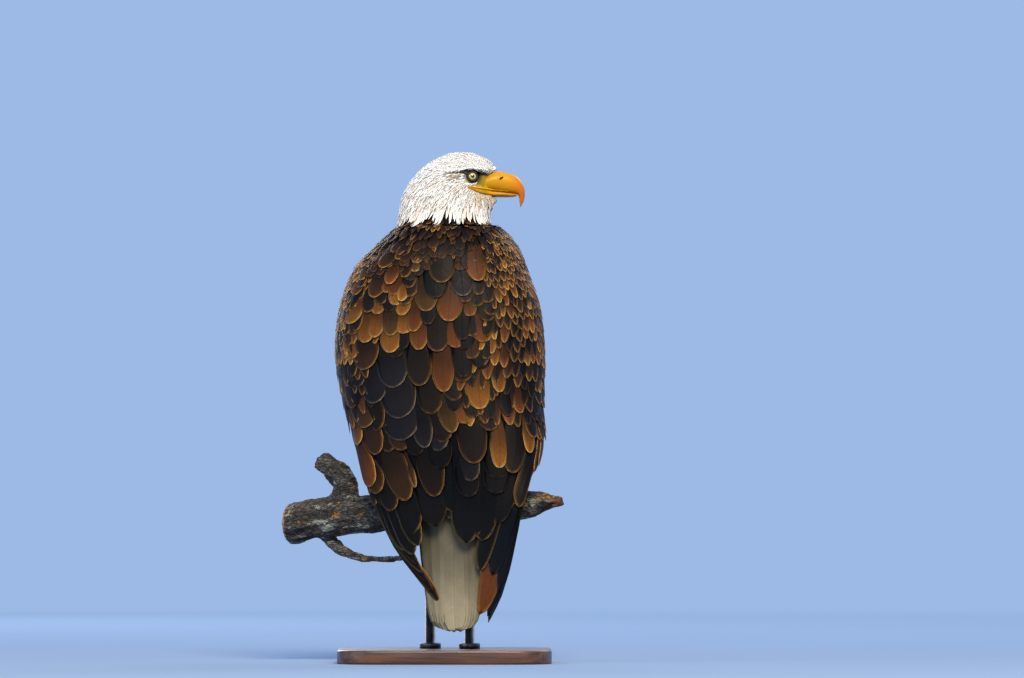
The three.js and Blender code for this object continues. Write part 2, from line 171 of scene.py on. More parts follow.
def give_vector(mesh: bpy.types.Mesh, name: str, values: Array) -> None:
    """Writes three numbers for each vertex."""
    made = mesh.attributes.new(name, "FLOAT_VECTOR", "POINT")
    made.data.foreach_set("vector", values.astype(np.float32).ravel())


def relaxed(mesh: bpy.types.Mesh, points: Array, rounds: Array) -> Array:
    """Points drawn towards their neighbours' mean.

    Args:
        mesh: The mesh that joins them.
        points: Their places.
        rounds: How many times each is drawn.

    Returns:
        Their new places.
    """
    ends = np.empty(len(mesh.edges) * 2, np.int32)
    mesh.edges.foreach_get("vertices", ends)
    first, second = ends.reshape(-1, 2).T
    here, there = np.concatenate((first, second)), np.concatenate((second, first))
    count = np.maximum(np.bincount(here, minlength=len(points)), 1)[:, None]
    for turn in range(int(rounds.max())):
        near = np.stack([np.bincount(here, points[there, i], len(points)) for i in range(3)], 1) / count
        points = np.where((rounds > turn)[:, None], (points + near) / 2, points)
    return points


def remeshed(name: str, meshes: Iterable[bpy.types.Mesh], voxel: float, grow: float) -> bpy.types.Object:
    """Solids swollen a little, joined and meshed evenly.

    Args:
        name: The new piece's name.
        meshes: The solids.
        voxel: Size of the even mesh, in metres.
        grow: How far each solid is swollen first.

    Returns:
        The new piece.
    """
    joined = bmesh.new()
    for mesh in meshes:
        own = bmesh.new()
        own.from_mesh(mesh)
        bmesh.ops.remove_doubles(own, verts=own.verts, dist=1e-6)
        own.normal_update()
        for vert in own.verts:
            vert.co += vert.normal * grow
        step = bpy.data.meshes.new("step")
        own.to_mesh(step)
        own.free()
        joined.from_mesh(step)
        bpy.data.meshes.remove(step)
    mesh = bpy.data.meshes.new(name)
    joined.to_mesh(mesh)
    joined.free()
    piece = linked(name, mesh)
    even = piece.modifiers.new("even", "REMESH")
    even.mode, even.voxel_size = "VOXEL", voxel
    graph = bpy.context.evaluated_depsgraph_get()
    made = bpy.data.meshes.new_from_object(piece.evaluated_get(graph))
    piece.modifiers.clear()
    piece.data = made
    made.name = name
    return piece


def loft(bm: bmesh.types.BMesh, rings: Sequence[Array], caps: bool = True) -> None:
    """A closed skin through rings of places.

    Args:
        bm: Where it is built.
        rings: Each ring's places, in order round it.
        caps: True to close both ends.
    """
    sides = len(rings[0])
    loops = []
    for ring in rings:
        circle = bmesh.ops.create_circle(bm, segments=sides, radius=1)["verts"]
        for vert, place in zip(circle, ring):
            vert.co = place
        edges = {edge for vert in circle for edge in vert.link_edges}
        loops.append((circle, list(edges)))
    for (_, low), (_, high) in zip(loops, loops[1:]):
        bmesh.ops.bridge_loops(bm, edges=low + high)
    if caps:
        for circle, _ in (loops[0], loops[-1]):
            bmesh.ops.contextual_create(bm, geom=circle)
    bmesh.ops.recalc_face_normals(bm, faces=bm.faces)


def tube(bm: bmesh.types.BMesh, path: Array, radii: Array, sides: int = 10, flat: float = 1.0) -> None:
    """A limb along a path.

    Args:
        bm: Where it is built.
        path: Its middle line.
        radii: Its radius at each place.
        sides: Sides of each ring.
        flat: Height of a ring against its width.
    """
    along = unit(np.gradient(path, axis=0))
    guide = np.array((0.0, 0.0, 1.0)) if abs(along[:, 2]).max() < 0.95 else np.array((1.0, 0.0, 0.0))
    side = unit(np.cross(along, guide))
    up = np.cross(side, along)
    turns = np.linspace(0, 2 * math.pi, sides, endpoint=False)
    ring = np.cos(turns)[None, :, None] * side[:, None] + flat * np.sin(turns)[None, :, None] * up[:, None]
    loft(bm, list(path[:, None] + ring * np.asarray(radii)[:, None, None]))


def piece_from(name: str, bm: bmesh.types.BMesh, smooth_shading: bool = True) -> bpy.types.Object:
    """A finished bmesh as a piece."""
    bmesh.ops.remove_doubles(bm, verts=bm.verts, dist=1e-6)
    bmesh.ops.recalc_face_normals(bm, faces=bm.faces)
    mesh = bpy.data.meshes.new(name)
    bm.to_mesh(mesh)
    bm.free()
    mesh.polygons.foreach_set("use_smooth", [smooth_shading] * len(mesh.polygons))
    return linked(name, mesh)


def subdivided(piece: bpy.types.Object, levels: int) -> None:
    """Adds a smooth subdivision."""
    modifier = piece.modifiers.new("smooth", "SUBSURF")
    modifier.levels = modifier.render_levels = levels


def dress(piece: bpy.types.Object, material: bpy.types.Material, nodes: Iterable[str] = ()) -> None:
    """Gives a piece its body and material, and says which solids it stands for.

    Args:
        piece: The piece.
        material: What it is dressed in.
        nodes: The solids it replaces.
    """
    piece.data.materials.clear()
    piece.data.materials.append(material)
    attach(piece, "root")
    names = list(nodes)
    if names:
        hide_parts(*names)
    log.info("%s: %d faces, for %s", piece.name, len(piece.data.polygons), names or "no solid of its own")


# ---- node trees ----

Socket = bpy.types.NodeSocket


class Tree:
    """A short way to write one material's node tree."""

    def __init__(self, name: str) -> None:
        """Starts a material with a bare principled surface."""
        self.material = bpy.data.materials.new(name)
        self.material.use_nodes = True
        self.nodes = self.material.node_tree.nodes
        self.links = self.material.node_tree.links
        self.nodes.clear()
        out = self.nodes.new("ShaderNodeOutputMaterial")
        self.surface = self.nodes.new("ShaderNodeBsdfPrincipled")
        self.links.new(self.surface.outputs[0], out.inputs[0])

    def plug(self, value: object, socket: Socket) -> None:
        """Links an output, or sets a plain value."""
        if isinstance(value, bpy.types.NodeSocket):
            self.links.new(value, socket)
        elif socket.type == "RGBA" and isinstance(value, tuple) and len(value) == 3:
            socket.default_value = (*value, 1.0)
        else:
            socket.default_value = value

    def math(self, kind: str, first: object, second: object = 0.0) -> Socket:
        """One math node's result."""
        node = self.nodes.new("ShaderNodeMath")
        node.operation = kind
        self.plug(first, node.inputs[0])
        self.plug(second, node.inputs[1])
        return node.outputs[0]

    def vector(self, kind: str, first: object, second: object) -> Socket:
        """One vector math node's result."""
        node = self.nodes.new("ShaderNodeVectorMath")
        node.operation = kind
        self.plug(first, node.inputs[0])
        self.plug(second, node.inputs["Scale"] if kind == "SCALE" else node.inputs[1])
        return node.outputs["Value" if kind in ("DISTANCE", "DOT_PRODUCT") else "Vector"]

    def ramp(self, value: object, low: object, high: object, start: object = 0.0, end: object = 1.0) -> Socket:
        """A soft step of a value, from start at low to end at high."""
        node = self.nodes.new("ShaderNodeMapRange")
        node.interpolation_type = "SMOOTHSTEP"
        for number, socket in zip((value, low, high, start, end), node.inputs):
            self.plug(number, socket)
        return node.outputs[0]

    def mix(self, share: object, first: object, second: object) -> Socket:
        """Two colours mixed."""
        node = self.nodes.new("ShaderNodeMix")
        node.data_type = "RGBA"
        self.plug(share, node.inputs[0])
        self.plug(first, node.inputs[6])
        self.plug(second, node.inputs[7])
        return node.outputs[2]

    def noise(self, where: object, scale: float, detail: float = 3.0, rough: float = 0.55) -> Socket:
        """A soft noise's value."""
        node = self.nodes.new("ShaderNodeTexNoise")
        self.plug(where, node.inputs["Vector"])
        node.inputs["Scale"].default_value = scale
        node.inputs["Detail"].default_value = detail
        node.inputs["Roughness"].default_value = rough
        return node.outputs[0]

    def wander(self, where: object, scale: float, reach: float) -> Socket:
        """Places pushed about by a soft noise."""
        node = self.nodes.new("ShaderNodeTexNoise")
        self.plug(where, node.inputs["Vector"])
        node.inputs["Scale"].default_value = scale
        return self.vector("ADD", where, self.vector("SCALE", node.outputs["Color"], reach))

    def cells(self, where: object, scale: float, feature: str = "F1") -> Socket:
        """Distance in a cell pattern."""
        node = self.nodes.new("ShaderNodeTexVoronoi")
        node.feature = feature
        self.plug(where, node.inputs["Vector"])
        node.inputs["Scale"].default_value = scale
        return node.outputs["Distance"]

    def attribute(self, name: str, output: str = "Vector") -> Socket:
        """A mesh attribute's value."""
        node = self.nodes.new("ShaderNodeAttribute")
        node.attribute_name = name
        return node.outputs[output]

    def place(self, stretch: tuple[float, float, float] = (1, 1, 1), turn: float = 0.0) -> Socket:
        """The piece's own coordinates, in metres, turned about the upright and stretched."""
        node = self.nodes.new("ShaderNodeMapping")
        self.links.new(self.nodes.new("ShaderNodeTexCoord").outputs["Object"], node.inputs["Vector"])
        node.inputs["Rotation"].default_value = (0, 0, turn)
        node.inputs["Scale"].default_value = stretch
        return node.outputs[0]

    def split(self, vector: object) -> list[Socket]:
        """A vector's three numbers."""
        node = self.nodes.new("ShaderNodeSeparateXYZ")
        self.plug(vector, node.inputs[0])
        return list(node.outputs)

    def join(self, x: object, y: object, z: object) -> Socket:
        """A vector from three numbers."""
        node = self.nodes.new("ShaderNodeCombineXYZ")
        for value, socket in zip((x, y, z), node.inputs):
            self.plug(value, socket)
        return node.outputs[0]

    def bump(self, height: object, strength: float, distance: float) -> None:
        """Plugs a bump into the surface."""
        node = self.nodes.new("ShaderNodeBump")
        node.inputs["Strength"].default_value = strength
        node.inputs["Distance"].default_value = distance
        self.plug(height, node.inputs["Height"])
        self.links.new(node.outputs[0], self.surface.inputs["Normal"])

    def set(self, **values: object) -> None:
        """Sets or links the surface's sockets; an underscore stands for a space."""
        for key, value in values.items():
            self.plug(value, self.surface.inputs[key.replace("_", " ")])


# ---- finishes ----


@dataclass(frozen=True)
class FeatherFinish:
    """Vane, shaft, barbs and worn rim of a feather, drawn from the vane's own attributes.

    Attributes:
        name: The material's name.
        shaft: Colour of the shaft against the vane's.
        root_dark: How much darker the vane is near its root, partly its own darker base and partly painted shade under
            the feathers that overlap it.
        barb: Spacing of the barbs, in metres.
        relief: Strength of the barbs' bump.
        roughness: Roughness of the vane.
        streak: Depth of the barbs' colour variation.
        wash: How strongly the rim's colour spreads into the vane.
        clouded: Depth of the dark clouds.
    """

    name: str
    shaft: float = 0.6
    root_dark: float = 0.8
    barb: float = 0.0011
    relief: float = 0.4
    roughness: float = 0.5
    streak: float = 0.4
    wash: float = 0.22
    clouded: float = 0.25

    def build(self) -> bpy.types.Material:
        """The finished material."""
        t = Tree(self.name)
        tint, rim = t.attribute("tint", "Color"), t.attribute("rim", "Color")
        across, along, edge = t.split(t.attribute("vane"))
        share, seed, rim_width = t.split(t.attribute("plan"))
        aside = t.math("ABSOLUTE", across)
        shift = t.math("MULTIPLY", seed, 7.0)
        slant = t.math("SUBTRACT", along, aside)
        barbs = t.noise(t.join(t.math("DIVIDE", slant, self.barb), t.math("MULTIPLY", aside, 90.0), shift), 1.0, 2.0)
        cloud = t.noise(t.join(across, along, shift), 60.0)
        # Towards the root the vane is darkened: partly its own darker base, partly painted shade under the feathers
        # that overlap it.
        start = t.math("ADD", t.math("MULTIPLY", seed, 0.25), 0.3)
        body = t.mix(t.ramp(share, start, 0.95, self.root_dark, 0.0), tint, t.vector("SCALE", tint, 0.16))
        body = t.mix(t.ramp(barbs, 0.3, 0.7, self.streak, 0.0), body, t.vector("SCALE", body, 0.4))
        body = t.mix(t.ramp(cloud, 0.35, 0.7, 0.0, self.clouded), body, t.vector("SCALE", body, 0.55))
        near_tip = t.ramp(share, 0.45, 0.82)
        wash = t.math("MULTIPLY", t.ramp(edge, 0.0, t.math("MULTIPLY", rim_width, 4.0), self.wash, 0.0), near_tip)
        body = t.mix(wash, body, rim)
        worn = t.math("MULTIPLY", rim_width, t.ramp(barbs, 0.2, 0.8, 0.6, 1.3))
        line = t.math("MULTIPLY", t.ramp(edge, t.math("MULTIPLY", worn, 0.45), worn, 0.95, 0.0), near_tip)
        body = t.mix(line, body, rim)
        shaft_line = t.ramp(aside, 0.0003, 0.0008, 0.7, 0.0)
        t.set(Base_Color=t.mix(shaft_line, body, t.vector("SCALE", body, self.shaft)))
        t.set(Roughness=t.ramp(barbs, 0.2, 0.8, self.roughness - 0.08, self.roughness + 0.14))
        t.set(Specular_IOR_Level=0.09)
        height = t.math("ADD", t.math("MULTIPLY", barbs, 0.6), t.ramp(aside, 0.0, 0.0011, 1.0, 0.0))
        t.bump(height, self.relief, 0.0006)
        return t.material


@dataclass(frozen=True)
class SkinFinish:
    """Down, bare face and scaly feet, in the colours that the skin carries, a painted shadow under each brow included.
    """

    name: str = "skin"

    def build(self) -> bpy.types.Material:
        """The finished material."""
        t = Tree(self.name)
        where = t.place()
        tint = t.attribute("tint", "Color")
        mottle = t.noise(where, 240.0)
        pores = t.cells(where, 900.0)
        colour = t.mix(t.ramp(mottle, 0.3, 0.75, 0.3, 0.0), tint, t.vector("SCALE", tint, 0.45))
        colour = t.mix(t.ramp(pores, 0.1, 0.6, 0.0, 0.2), colour, t.vector("SCALE", tint, 0.6))
        t.set(Base_Color=colour, Roughness=t.ramp(mottle, 0.2, 0.8, 0.5, 0.7), Specular_IOR_Level=0.22)
        t.bump(t.math("ADD", mottle, t.math("MULTIPLY", pores, -0.5)), 0.5, 0.0006)
        return t.material


@dataclass(frozen=True)
class BillFinish:
    """Yellow horn that deepens to orange at the hook, with fine growth lines.

    Attributes:
        hook_x: Where the orange of the hook is full, in metres along the head.
        base_x: Where the plain yellow begins.
    """

    hook_x: float = 0.129
    base_x: float = 0.098
    name: str = "bill"

    def build(self) -> bpy.types.Material:
        """The finished material."""
        t = Tree(self.name)
        where = t.place()
        x, _, z = t.split(where)
        tint = t.attribute("tint", "Color")
        grain = t.noise(t.place((0.18, 1, 1)), 900.0, 3.0)
        cloud = t.noise(where, 130.0)
        low = t.ramp(z, 0.752, 0.786, 0.25, 0.0)
        deep = t.math("ADD", t.ramp(x, self.base_x, self.hook_x, 0.0, 0.75), low)
        colour = t.mix(deep, tint, linear(182, 88, 4))
        colour = t.mix(t.ramp(cloud, 0.35, 0.75, 0.0, 0.3), colour, linear(186, 122, 6))
        colour = t.mix(t.ramp(grain, 0.25, 0.5, 0.3, 0.0), colour, linear(150, 90, 14))
        t.set(Base_Color=colour, Roughness=t.ramp(grain, 0.2, 0.8, 0.3, 0.45), Specular_IOR_Level=0.2)
        t.bump(t.math("ADD", grain, t.math("MULTIPLY", cloud, 1.5)), 0.22, 0.0005)
        return t.material


@dataclass(frozen=True)
class EyeFinish:
    """Pupil, streaked pale iris and dark outer ring, drawn by the angle from the line of sight.

    Attributes:
        pupil: Half angle of the pupil, in degrees.
        iris: Half angle of the iris.
    """

    pupil: float = 12.0
    iris: float = 30.0
    name: str = "eye"

    def build(self) -> bpy.types.Material:
        """The finished material."""
        t = Tree(self.name)
        angle, across, up = t.split(t.attribute("gaze"))
        spoke = t.noise(t.join(t.math("MULTIPLY", across, 14.0), t.math("MULTIPLY", up, 14.0), 0.3), 1.0, 4.0)
        fleck = t.noise(t.place(), 900.0)
        pale = t.mix(t.ramp(spoke, 0.3, 0.7), linear(146, 128, 58), linear(196, 182, 108))
        pale = t.mix(t.ramp(fleck, 0.5, 0.8, 0.0, 0.4), pale, linear(160, 128, 60))
        inner = t.ramp(angle, self.pupil + 1, self.pupil + 7, 0.45, 0.0)
        colour = t.mix(inner, pale, linear(120, 96, 40))
        outer = t.ramp(angle, self.iris - 5, self.iris + 1, 0.0, 0.95)
        colour = t.mix(outer, colour, linear(38, 34, 22))
        colour = t.mix(t.ramp(angle, self.pupil, self.pupil + 1.5, 1.0, 0.0), colour, linear(6, 6, 8))
        t.set(Base_Color=colour, Roughness=t.ramp(spoke, 0.2, 0.8, 0.1, 0.2), Coat_Weight=1.0, Coat_Roughness=0.02)
        t.bump(spoke, 0.1, 0.0002)
        return t.material


@dataclass(frozen=True)
class TalonFinish:
    """Black horn with paler streaks and fine grooves."""

    name: str = "talon"

    def build(self) -> bpy.types.Material:
        """The finished material."""
        t = Tree(self.name)
        where = t.place()
        streak = t.noise(t.place((1, 0.25, 0.25), BODY_YAW), 1500.0)
        cloud = t.noise(where, 260.0)
        colour = t.mix(t.ramp(streak, 0.4, 0.8), linear(18, 17, 18), linear(58, 52, 46))
        colour = t.mix(t.ramp(cloud, 0.5, 0.8, 0.0, 0.5), colour, linear(84, 74, 60))
        t.set(Base_Color=colour, Roughness=t.ramp(streak, 0.2, 0.8, 0.24, 0.44), Coat_Weight=0.2)
        t.bump(streak, 0.2, 0.0004)
        return t.material


@dataclass(frozen=True)
class BarkFinish:
    """Grey furrowed bark with crusts of lichen, and bare wood where the branch is cut or broken.

    Attributes:
        lichen: Share of the bark that lichen covers. Not used.
    """

    lichen: float = 0.3
    name: str = "bark"

    def build(self) -> bpy.types.Material:
        """The finished material."""
        t = Tree(self.name)
        stretched = t.place((0.35, 1, 1), BODY_YAW)
        where = t.place()
        wood = t.attribute("tint", "Color")
        deep, bare, _ = t.split(t.attribute("bark"))
        plates = t.cells(t.wander(stretched, 60.0, 0.012), 170.0, "DISTANCE_TO_EDGE")
        fine = t.noise(stretched, 420.0, 6.0, 0.65)
        broad = t.noise(where, 26.0)
        colour = t.mix(t.ramp(fine, 0.32, 0.7), linear(34, 33, 34), linear(112, 108, 102))
        colour = t.mix(t.ramp(broad, 0.42, 0.66, 0.0, 0.7), colour, linear(78, 66, 56))
        colour = t.mix(t.ramp(deep, 0.0, 1.0, 0.75, 0.0), colour, linear(20, 19, 21))
        colour = t.mix(t.ramp(plates, 0.0, 0.1, 0.7, 0.0), colour, linear(18, 17, 19))
        spot = t.math("MULTIPLY", t.noise(where, 48.0, 5.0, 0.6), t.ramp(deep, 0.3, 0.8))
        crust = t.noise(where, 160.0, 5.0, 0.7)
        grey = t.mix(crust, linear(118, 128, 112), linear(158, 164, 148))
        colour = t.mix(t.ramp(spot, 0.5, 0.56, 0.0, 0.7), colour, grey)
        gold = t.math("MULTIPLY", t.ramp(t.noise(where, 33.0, 5.0), 0.56, 0.62), t.ramp(crust, 0.45, 0.6))
        colour = t.mix(t.math("MULTIPLY", gold, 0.8), colour, linear(168, 116, 38))
        colour = t.mix(bare, colour, t.mix(t.ramp(fine, 0.3, 0.75), t.vector("SCALE", wood, 0.35), wood))
        t.set(Base_Color=colour, Roughness=t.ramp(fine, 0.2, 0.8, 0.78, 0.95), Specular_IOR_Level=0.25)
        height = t.math("ADD", t.math("MULTIPLY", fine, 1.2), t.ramp(plates, 0.0, 0.14))
        t.bump(height, 0.8, 0.0022)
        return t.material


@dataclass(frozen=True)
class WoodFinish:
    """Dark stained, satin wood with its grain along X."""

    name: str = "stand_wood"

    def build(self) -> bpy.types.Material:
        """The finished material."""
        t = Tree(self.name)
        flow = t.wander(t.place((0.9, 14, 14)), 0.8, 0.9)
        rings = t.noise(flow, 5.0, 4.0, 0.6)
        pore = t.noise(t.place((1, 22, 22)), 130.0, 2.0)
        colour = t.mix(t.ramp(rings, 0.32, 0.68), linear(44, 25, 15), linear(98, 60, 36))
        colour = t.mix(t.ramp(pore, 0.55, 0.7, 0.0, 0.6), colour, linear(28, 16, 10))
        t.set(Base_Color=colour, Roughness=t.ramp(rings, 0.2, 0.8, 0.34, 0.46), Coat_Weight=0.25, Coat_Roughness=0.2)
        t.bump(t.math("SUBTRACT", rings, pore), 0.1, 0.0006)
        return t.material


@dataclass(frozen=True)
class MetalFinish:
    """Dark satin steel, brushed along its length."""

    name: str = "stand_metal"

    def build(self) -> bpy.types.Material:
        """The finished material."""
        t = Tree(self.name)
        brush = t.noise(t.place((1, 1, 0.04)), 2600.0, 2.0)
        cloud = t.noise(t.place(), 60.0)
        colour = t.mix(t.ramp(cloud, 0.3, 0.7), linear(62, 64, 68), linear(92, 93, 96))
        t.set(Base_Color=colour, Metallic=0.9, Roughness=t.ramp(brush, 0.2, 0.8, 0.3, 0.46))
        t.bump(brush, 0.08, 0.0002)
        return t.material


@dataclass(frozen=True)
class StageFinish:
    """Plain pale floor that runs out into the sky's own light."""

    sky: Colour
    name: str = "stage"

    def build(self) -> bpy.types.Material:
        """The finished material."""
        t = Tree(self.name)
        x, y, _ = t.split(t.place())
        away = t.math("POWER", t.math("ADD", t.math("MULTIPLY", x, x), t.math("MULTIPLY", y, y)), 0.5)
        far = t.ramp(away, 0.6, 7.0)
        grain = t.noise(t.place(), 3.0)
        near = t.mix(grain, linear(125, 144, 173), linear(128, 147, 176))
        t.set(Base_Color=t.mix(far, near, (0.0, 0.0, 0.0)), Roughness=t.ramp(grain, 0.0, 1.0, 0.88, 0.94))
        t.set(Emission_Color=t.mix(far, (0.0, 0.0, 0.0), self.sky), Emission_Strength=1.0, Specular_IOR_Level=0.0)
        return t.material


# ---- the surfaces that feathers lie on ----


class Ground:
    """A surface that feathers lie on."""

    def settle(self, points: Array) -> tuple[Array, Array]:
        """Points brought onto the surface, and the surface's outward normals there."""
        raise NotImplementedError

    def lie(self, points: Array, normals: Array) -> Array:
        """The way feathers lie: straight down the surface."""
        return unit(np.array((0.0, 0.0, -1.0)) + normals * normals[..., 2:])


@dataclass(frozen=True)
class Outline(Ground):
    """A feathered outline as level slices, in the turned body's frame.

    Attributes:
        slices: Height, middle x, half width, front y and back y, in millimetres.
    """

    slices: Track

    def point(self, turn: Array | float, height: Array | float) -> Array:
        """Points of the outline, in the row's frame.

        Args:
            turn: Angle round from the back, to the right, in radians.
            height: Height in metres.

        Returns:
            Places, (..., 3).
        """
        turn, height = np.broadcast_arrays(np.asarray(turn, float), np.asarray(height, float))
        row = self.slices(height / MM) * MM
        middle, half, front, back = (row[..., i] for i in range(4))
        x = middle + half * np.sin(turn)
        y = (front + back) / 2 - (front - back) / 2 * np.cos(turn)
        return to_world(np.stack((x, y, height), -1))

    def turn_of(self, points: Array) -> Array:
        """The angle round the body of points in the row's frame."""
        own = to_body(points)
        row = self.slices(own[..., 2] / MM) * MM
        middle, half, front, back = (row[..., i] for i in range(4))
        depth = ((front + back) / 2 - own[..., 1]) / ((front - back) / 2)
        return np.arctan2((own[..., 0] - middle) / half, depth)

    def settle(self, points: Array) -> tuple[Array, Array]:
        """Points brought level onto the outline, and its outward normals there."""
        turn, height = self.turn_of(points), points[..., 2]
        here = self.point(turn, height)
        rise = self.point(turn, height + 0.002) - self.point(turn, height - 0.002)
        sweep = self.point(turn + 0.01, height) - self.point(turn - 0.01, height)
        return here, unit(np.cross(sweep, rise))

    def lie(self, points: Array, normals: Array) -> Array:
        """The way feathers lie: down the outline at a steady turn."""
        turn, height = self.turn_of(points), points[..., 2]
        return unit(self.point(turn, height - 0.002) - self.point(turn, height + 0.002))

    def behind(self, x: Array, height: Array) -> Array:
        """Points on the outline as met from straight behind.

        Args:
            x: Row-frame x in metres.
            height: Height in metres.

        Returns:
            Places in the row's frame.
        """
        turns = np.radians(np.linspace(-72, 108, 721))
        ring = self.point(turns[None, :], np.asarray(height)[:, None])
        nearest = np.abs(ring[..., 0] - np.asarray(x)[:, None]).argmin(1)
        return ring[np.arange(len(nearest)), nearest]


# Height, middle x, half width, front y and back y of trunk, folded wings and the tips of the primaries.
OUTLINE = Outline(Track((
    (712, 3, 74, 68, -56), (690, 4, 95, 82, -74), (664, 0, 119, 98, -91), (634, -10, 141, 112, -103),
    (570, -12, 165, 128, -116), (493, -11, 173, 130, -121), (416, -2, 166, 112, -121), (340, 16, 158, 60, -113),
    (263, 28, 136, -38, -99), (186, 36, 112, -50, -93), (110, 52, 77, -60, -91), (60, 49, 55, -70, -90),
)))

# The same for the belly and rump inside the wings, and on down over the root of the tail.
BELLY = Outline(Track((
    (470, -10, 168, 127, -119), (416, -4, 150, 106, -117), (370, 4, 118, 82, -110), (340, 12, 95, 48, -103),
    (316, 18, 76, -4, -97), (290, 24, 66, -38, -92), (250, 32, 57, -52, -80), (200, 38, 62, -67, -79.5),
    (110, 42, 61, -76, -84), (50, 46, 33, -83, -86),
)))


@dataclass(frozen=True)
class TailFan(Ground):
    """The spread of the tail, as a bowed sheet.

    Attributes:
        rows: Height, middle x, half width, middle y and bow, in millimetres, in the body's frame.
    """

    rows: Track = Track((
        (262, 30, 52, -66, 3), (250, 32, 55, -67, 3), (200, 38, 61, -73, 4), (110, 42, 60, -80, 4),
        (75, 44, 55, -83, 3), (50, 46, 47, -84.5, 2),
    ))

    def point(self, across: Array | float, height: Array | float) -> Array:
        """Points of the fan, in the row's frame; across runs from -1 at its left to 1."""
        across, height = np.broadcast_arrays(np.asarray(across, float), np.asarray(height, float))
        row = self.rows(height / MM) * MM
        middle, half, back, bow = (row[..., i] for i in range(4))
        return to_world(np.stack((middle + half * across, back + bow * across**2, height), -1))

    def across(self, points: Array) -> Array:
        """Where points lie across the fan."""
        own = to_body(points)
        row = self.rows(own[..., 2] / MM) * MM
        return (own[..., 0] - row[..., 0]) / row[..., 1]

    def settle(self, points: Array) -> tuple[Array, Array]:
        """Points brought onto the fan, and its normals, which point backwards."""
        across, height = self.across(points), points[..., 2]
        rise = self.point(across, height + 0.002) - self.point(across, height - 0.002)
        sweep = self.point(across + 0.02, height) - self.point(across - 0.02, height)
        return self.point(across, height), unit(np.cross(sweep, rise))


BROW = Track(((-20, 784), (8, 783.8), (30, 785.4), (40, 787.6), (54, 786), (67, 783.8), (78, 782)))


def own_head(points: Array) -> tuple[Array, Array, Array]:
    """Places in the head's frame, in millimetres: ahead, aside and up."""
    own = (points - HEAD) / MM
    return own[..., 0], own[..., 1], own[..., 2]


def browed(points: Array) -> Array:
    """Raises the bony brow over each eye, hollows the face under it and fills forehead and chin."""
    x, y, z = own_head(points)
    above = z - BROW.one(x)
    along = smooth(-4, 18, x) * smooth(80, 70, x) * smooth(8, 16, np.abs(y))
    swell = 2.6 * np.exp(-(((above - 3.2) / 3.4) ** 2)) - 1.5 * np.exp(-(((above + 3.0) / 2.6) ** 2))
    forehead = 5.5 * smooth(36, 62, x) * smooth(779, 787, z) * smooth(822, 800, z)
    chin = 4 * smooth(54, 70, x) * smooth(724, 744, z) * smooth(757, 751, z) * smooth(17, 9, np.abs(y))
    cheek = 4 * smooth(57, 72, x) * smooth(744, 752, z) * smooth(792, 782, z) * smooth(8, 16, np.abs(y))
    aside = np.sign(y) * (swell * along - cheek)
    return points + np.stack((forehead + chin, aside, 0.25 * forehead + 0.9 * chin), -1) * MM


def split_near(mesh: bpy.types.Mesh, places: Sequence[Array], reach: float, cuts: int) -> None:
    """Splits the faces near some places.

    Args:
        mesh: The mesh.
        places: The places.
        reach: How far from them, in metres.
        cuts: Cuts along each edge.
    """
    bm = bmesh.new()
    bm.from_mesh(mesh)
    middles = [Vector(place) for place in places]
    chosen = [f for f in bm.faces if min((f.calc_center_median() - m).length for m in middles) < reach]
    edges = list({edge for face in chosen for edge in face.edges})
    bmesh.ops.subdivide_edges(bm, edges=edges, cuts=cuts, use_grid_fill=True)
    bmesh.ops.triangulate(bm, faces=[face for face in bm.faces if len(face.verts) > 4])
    bm.to_mesh(mesh)
    bm.free()


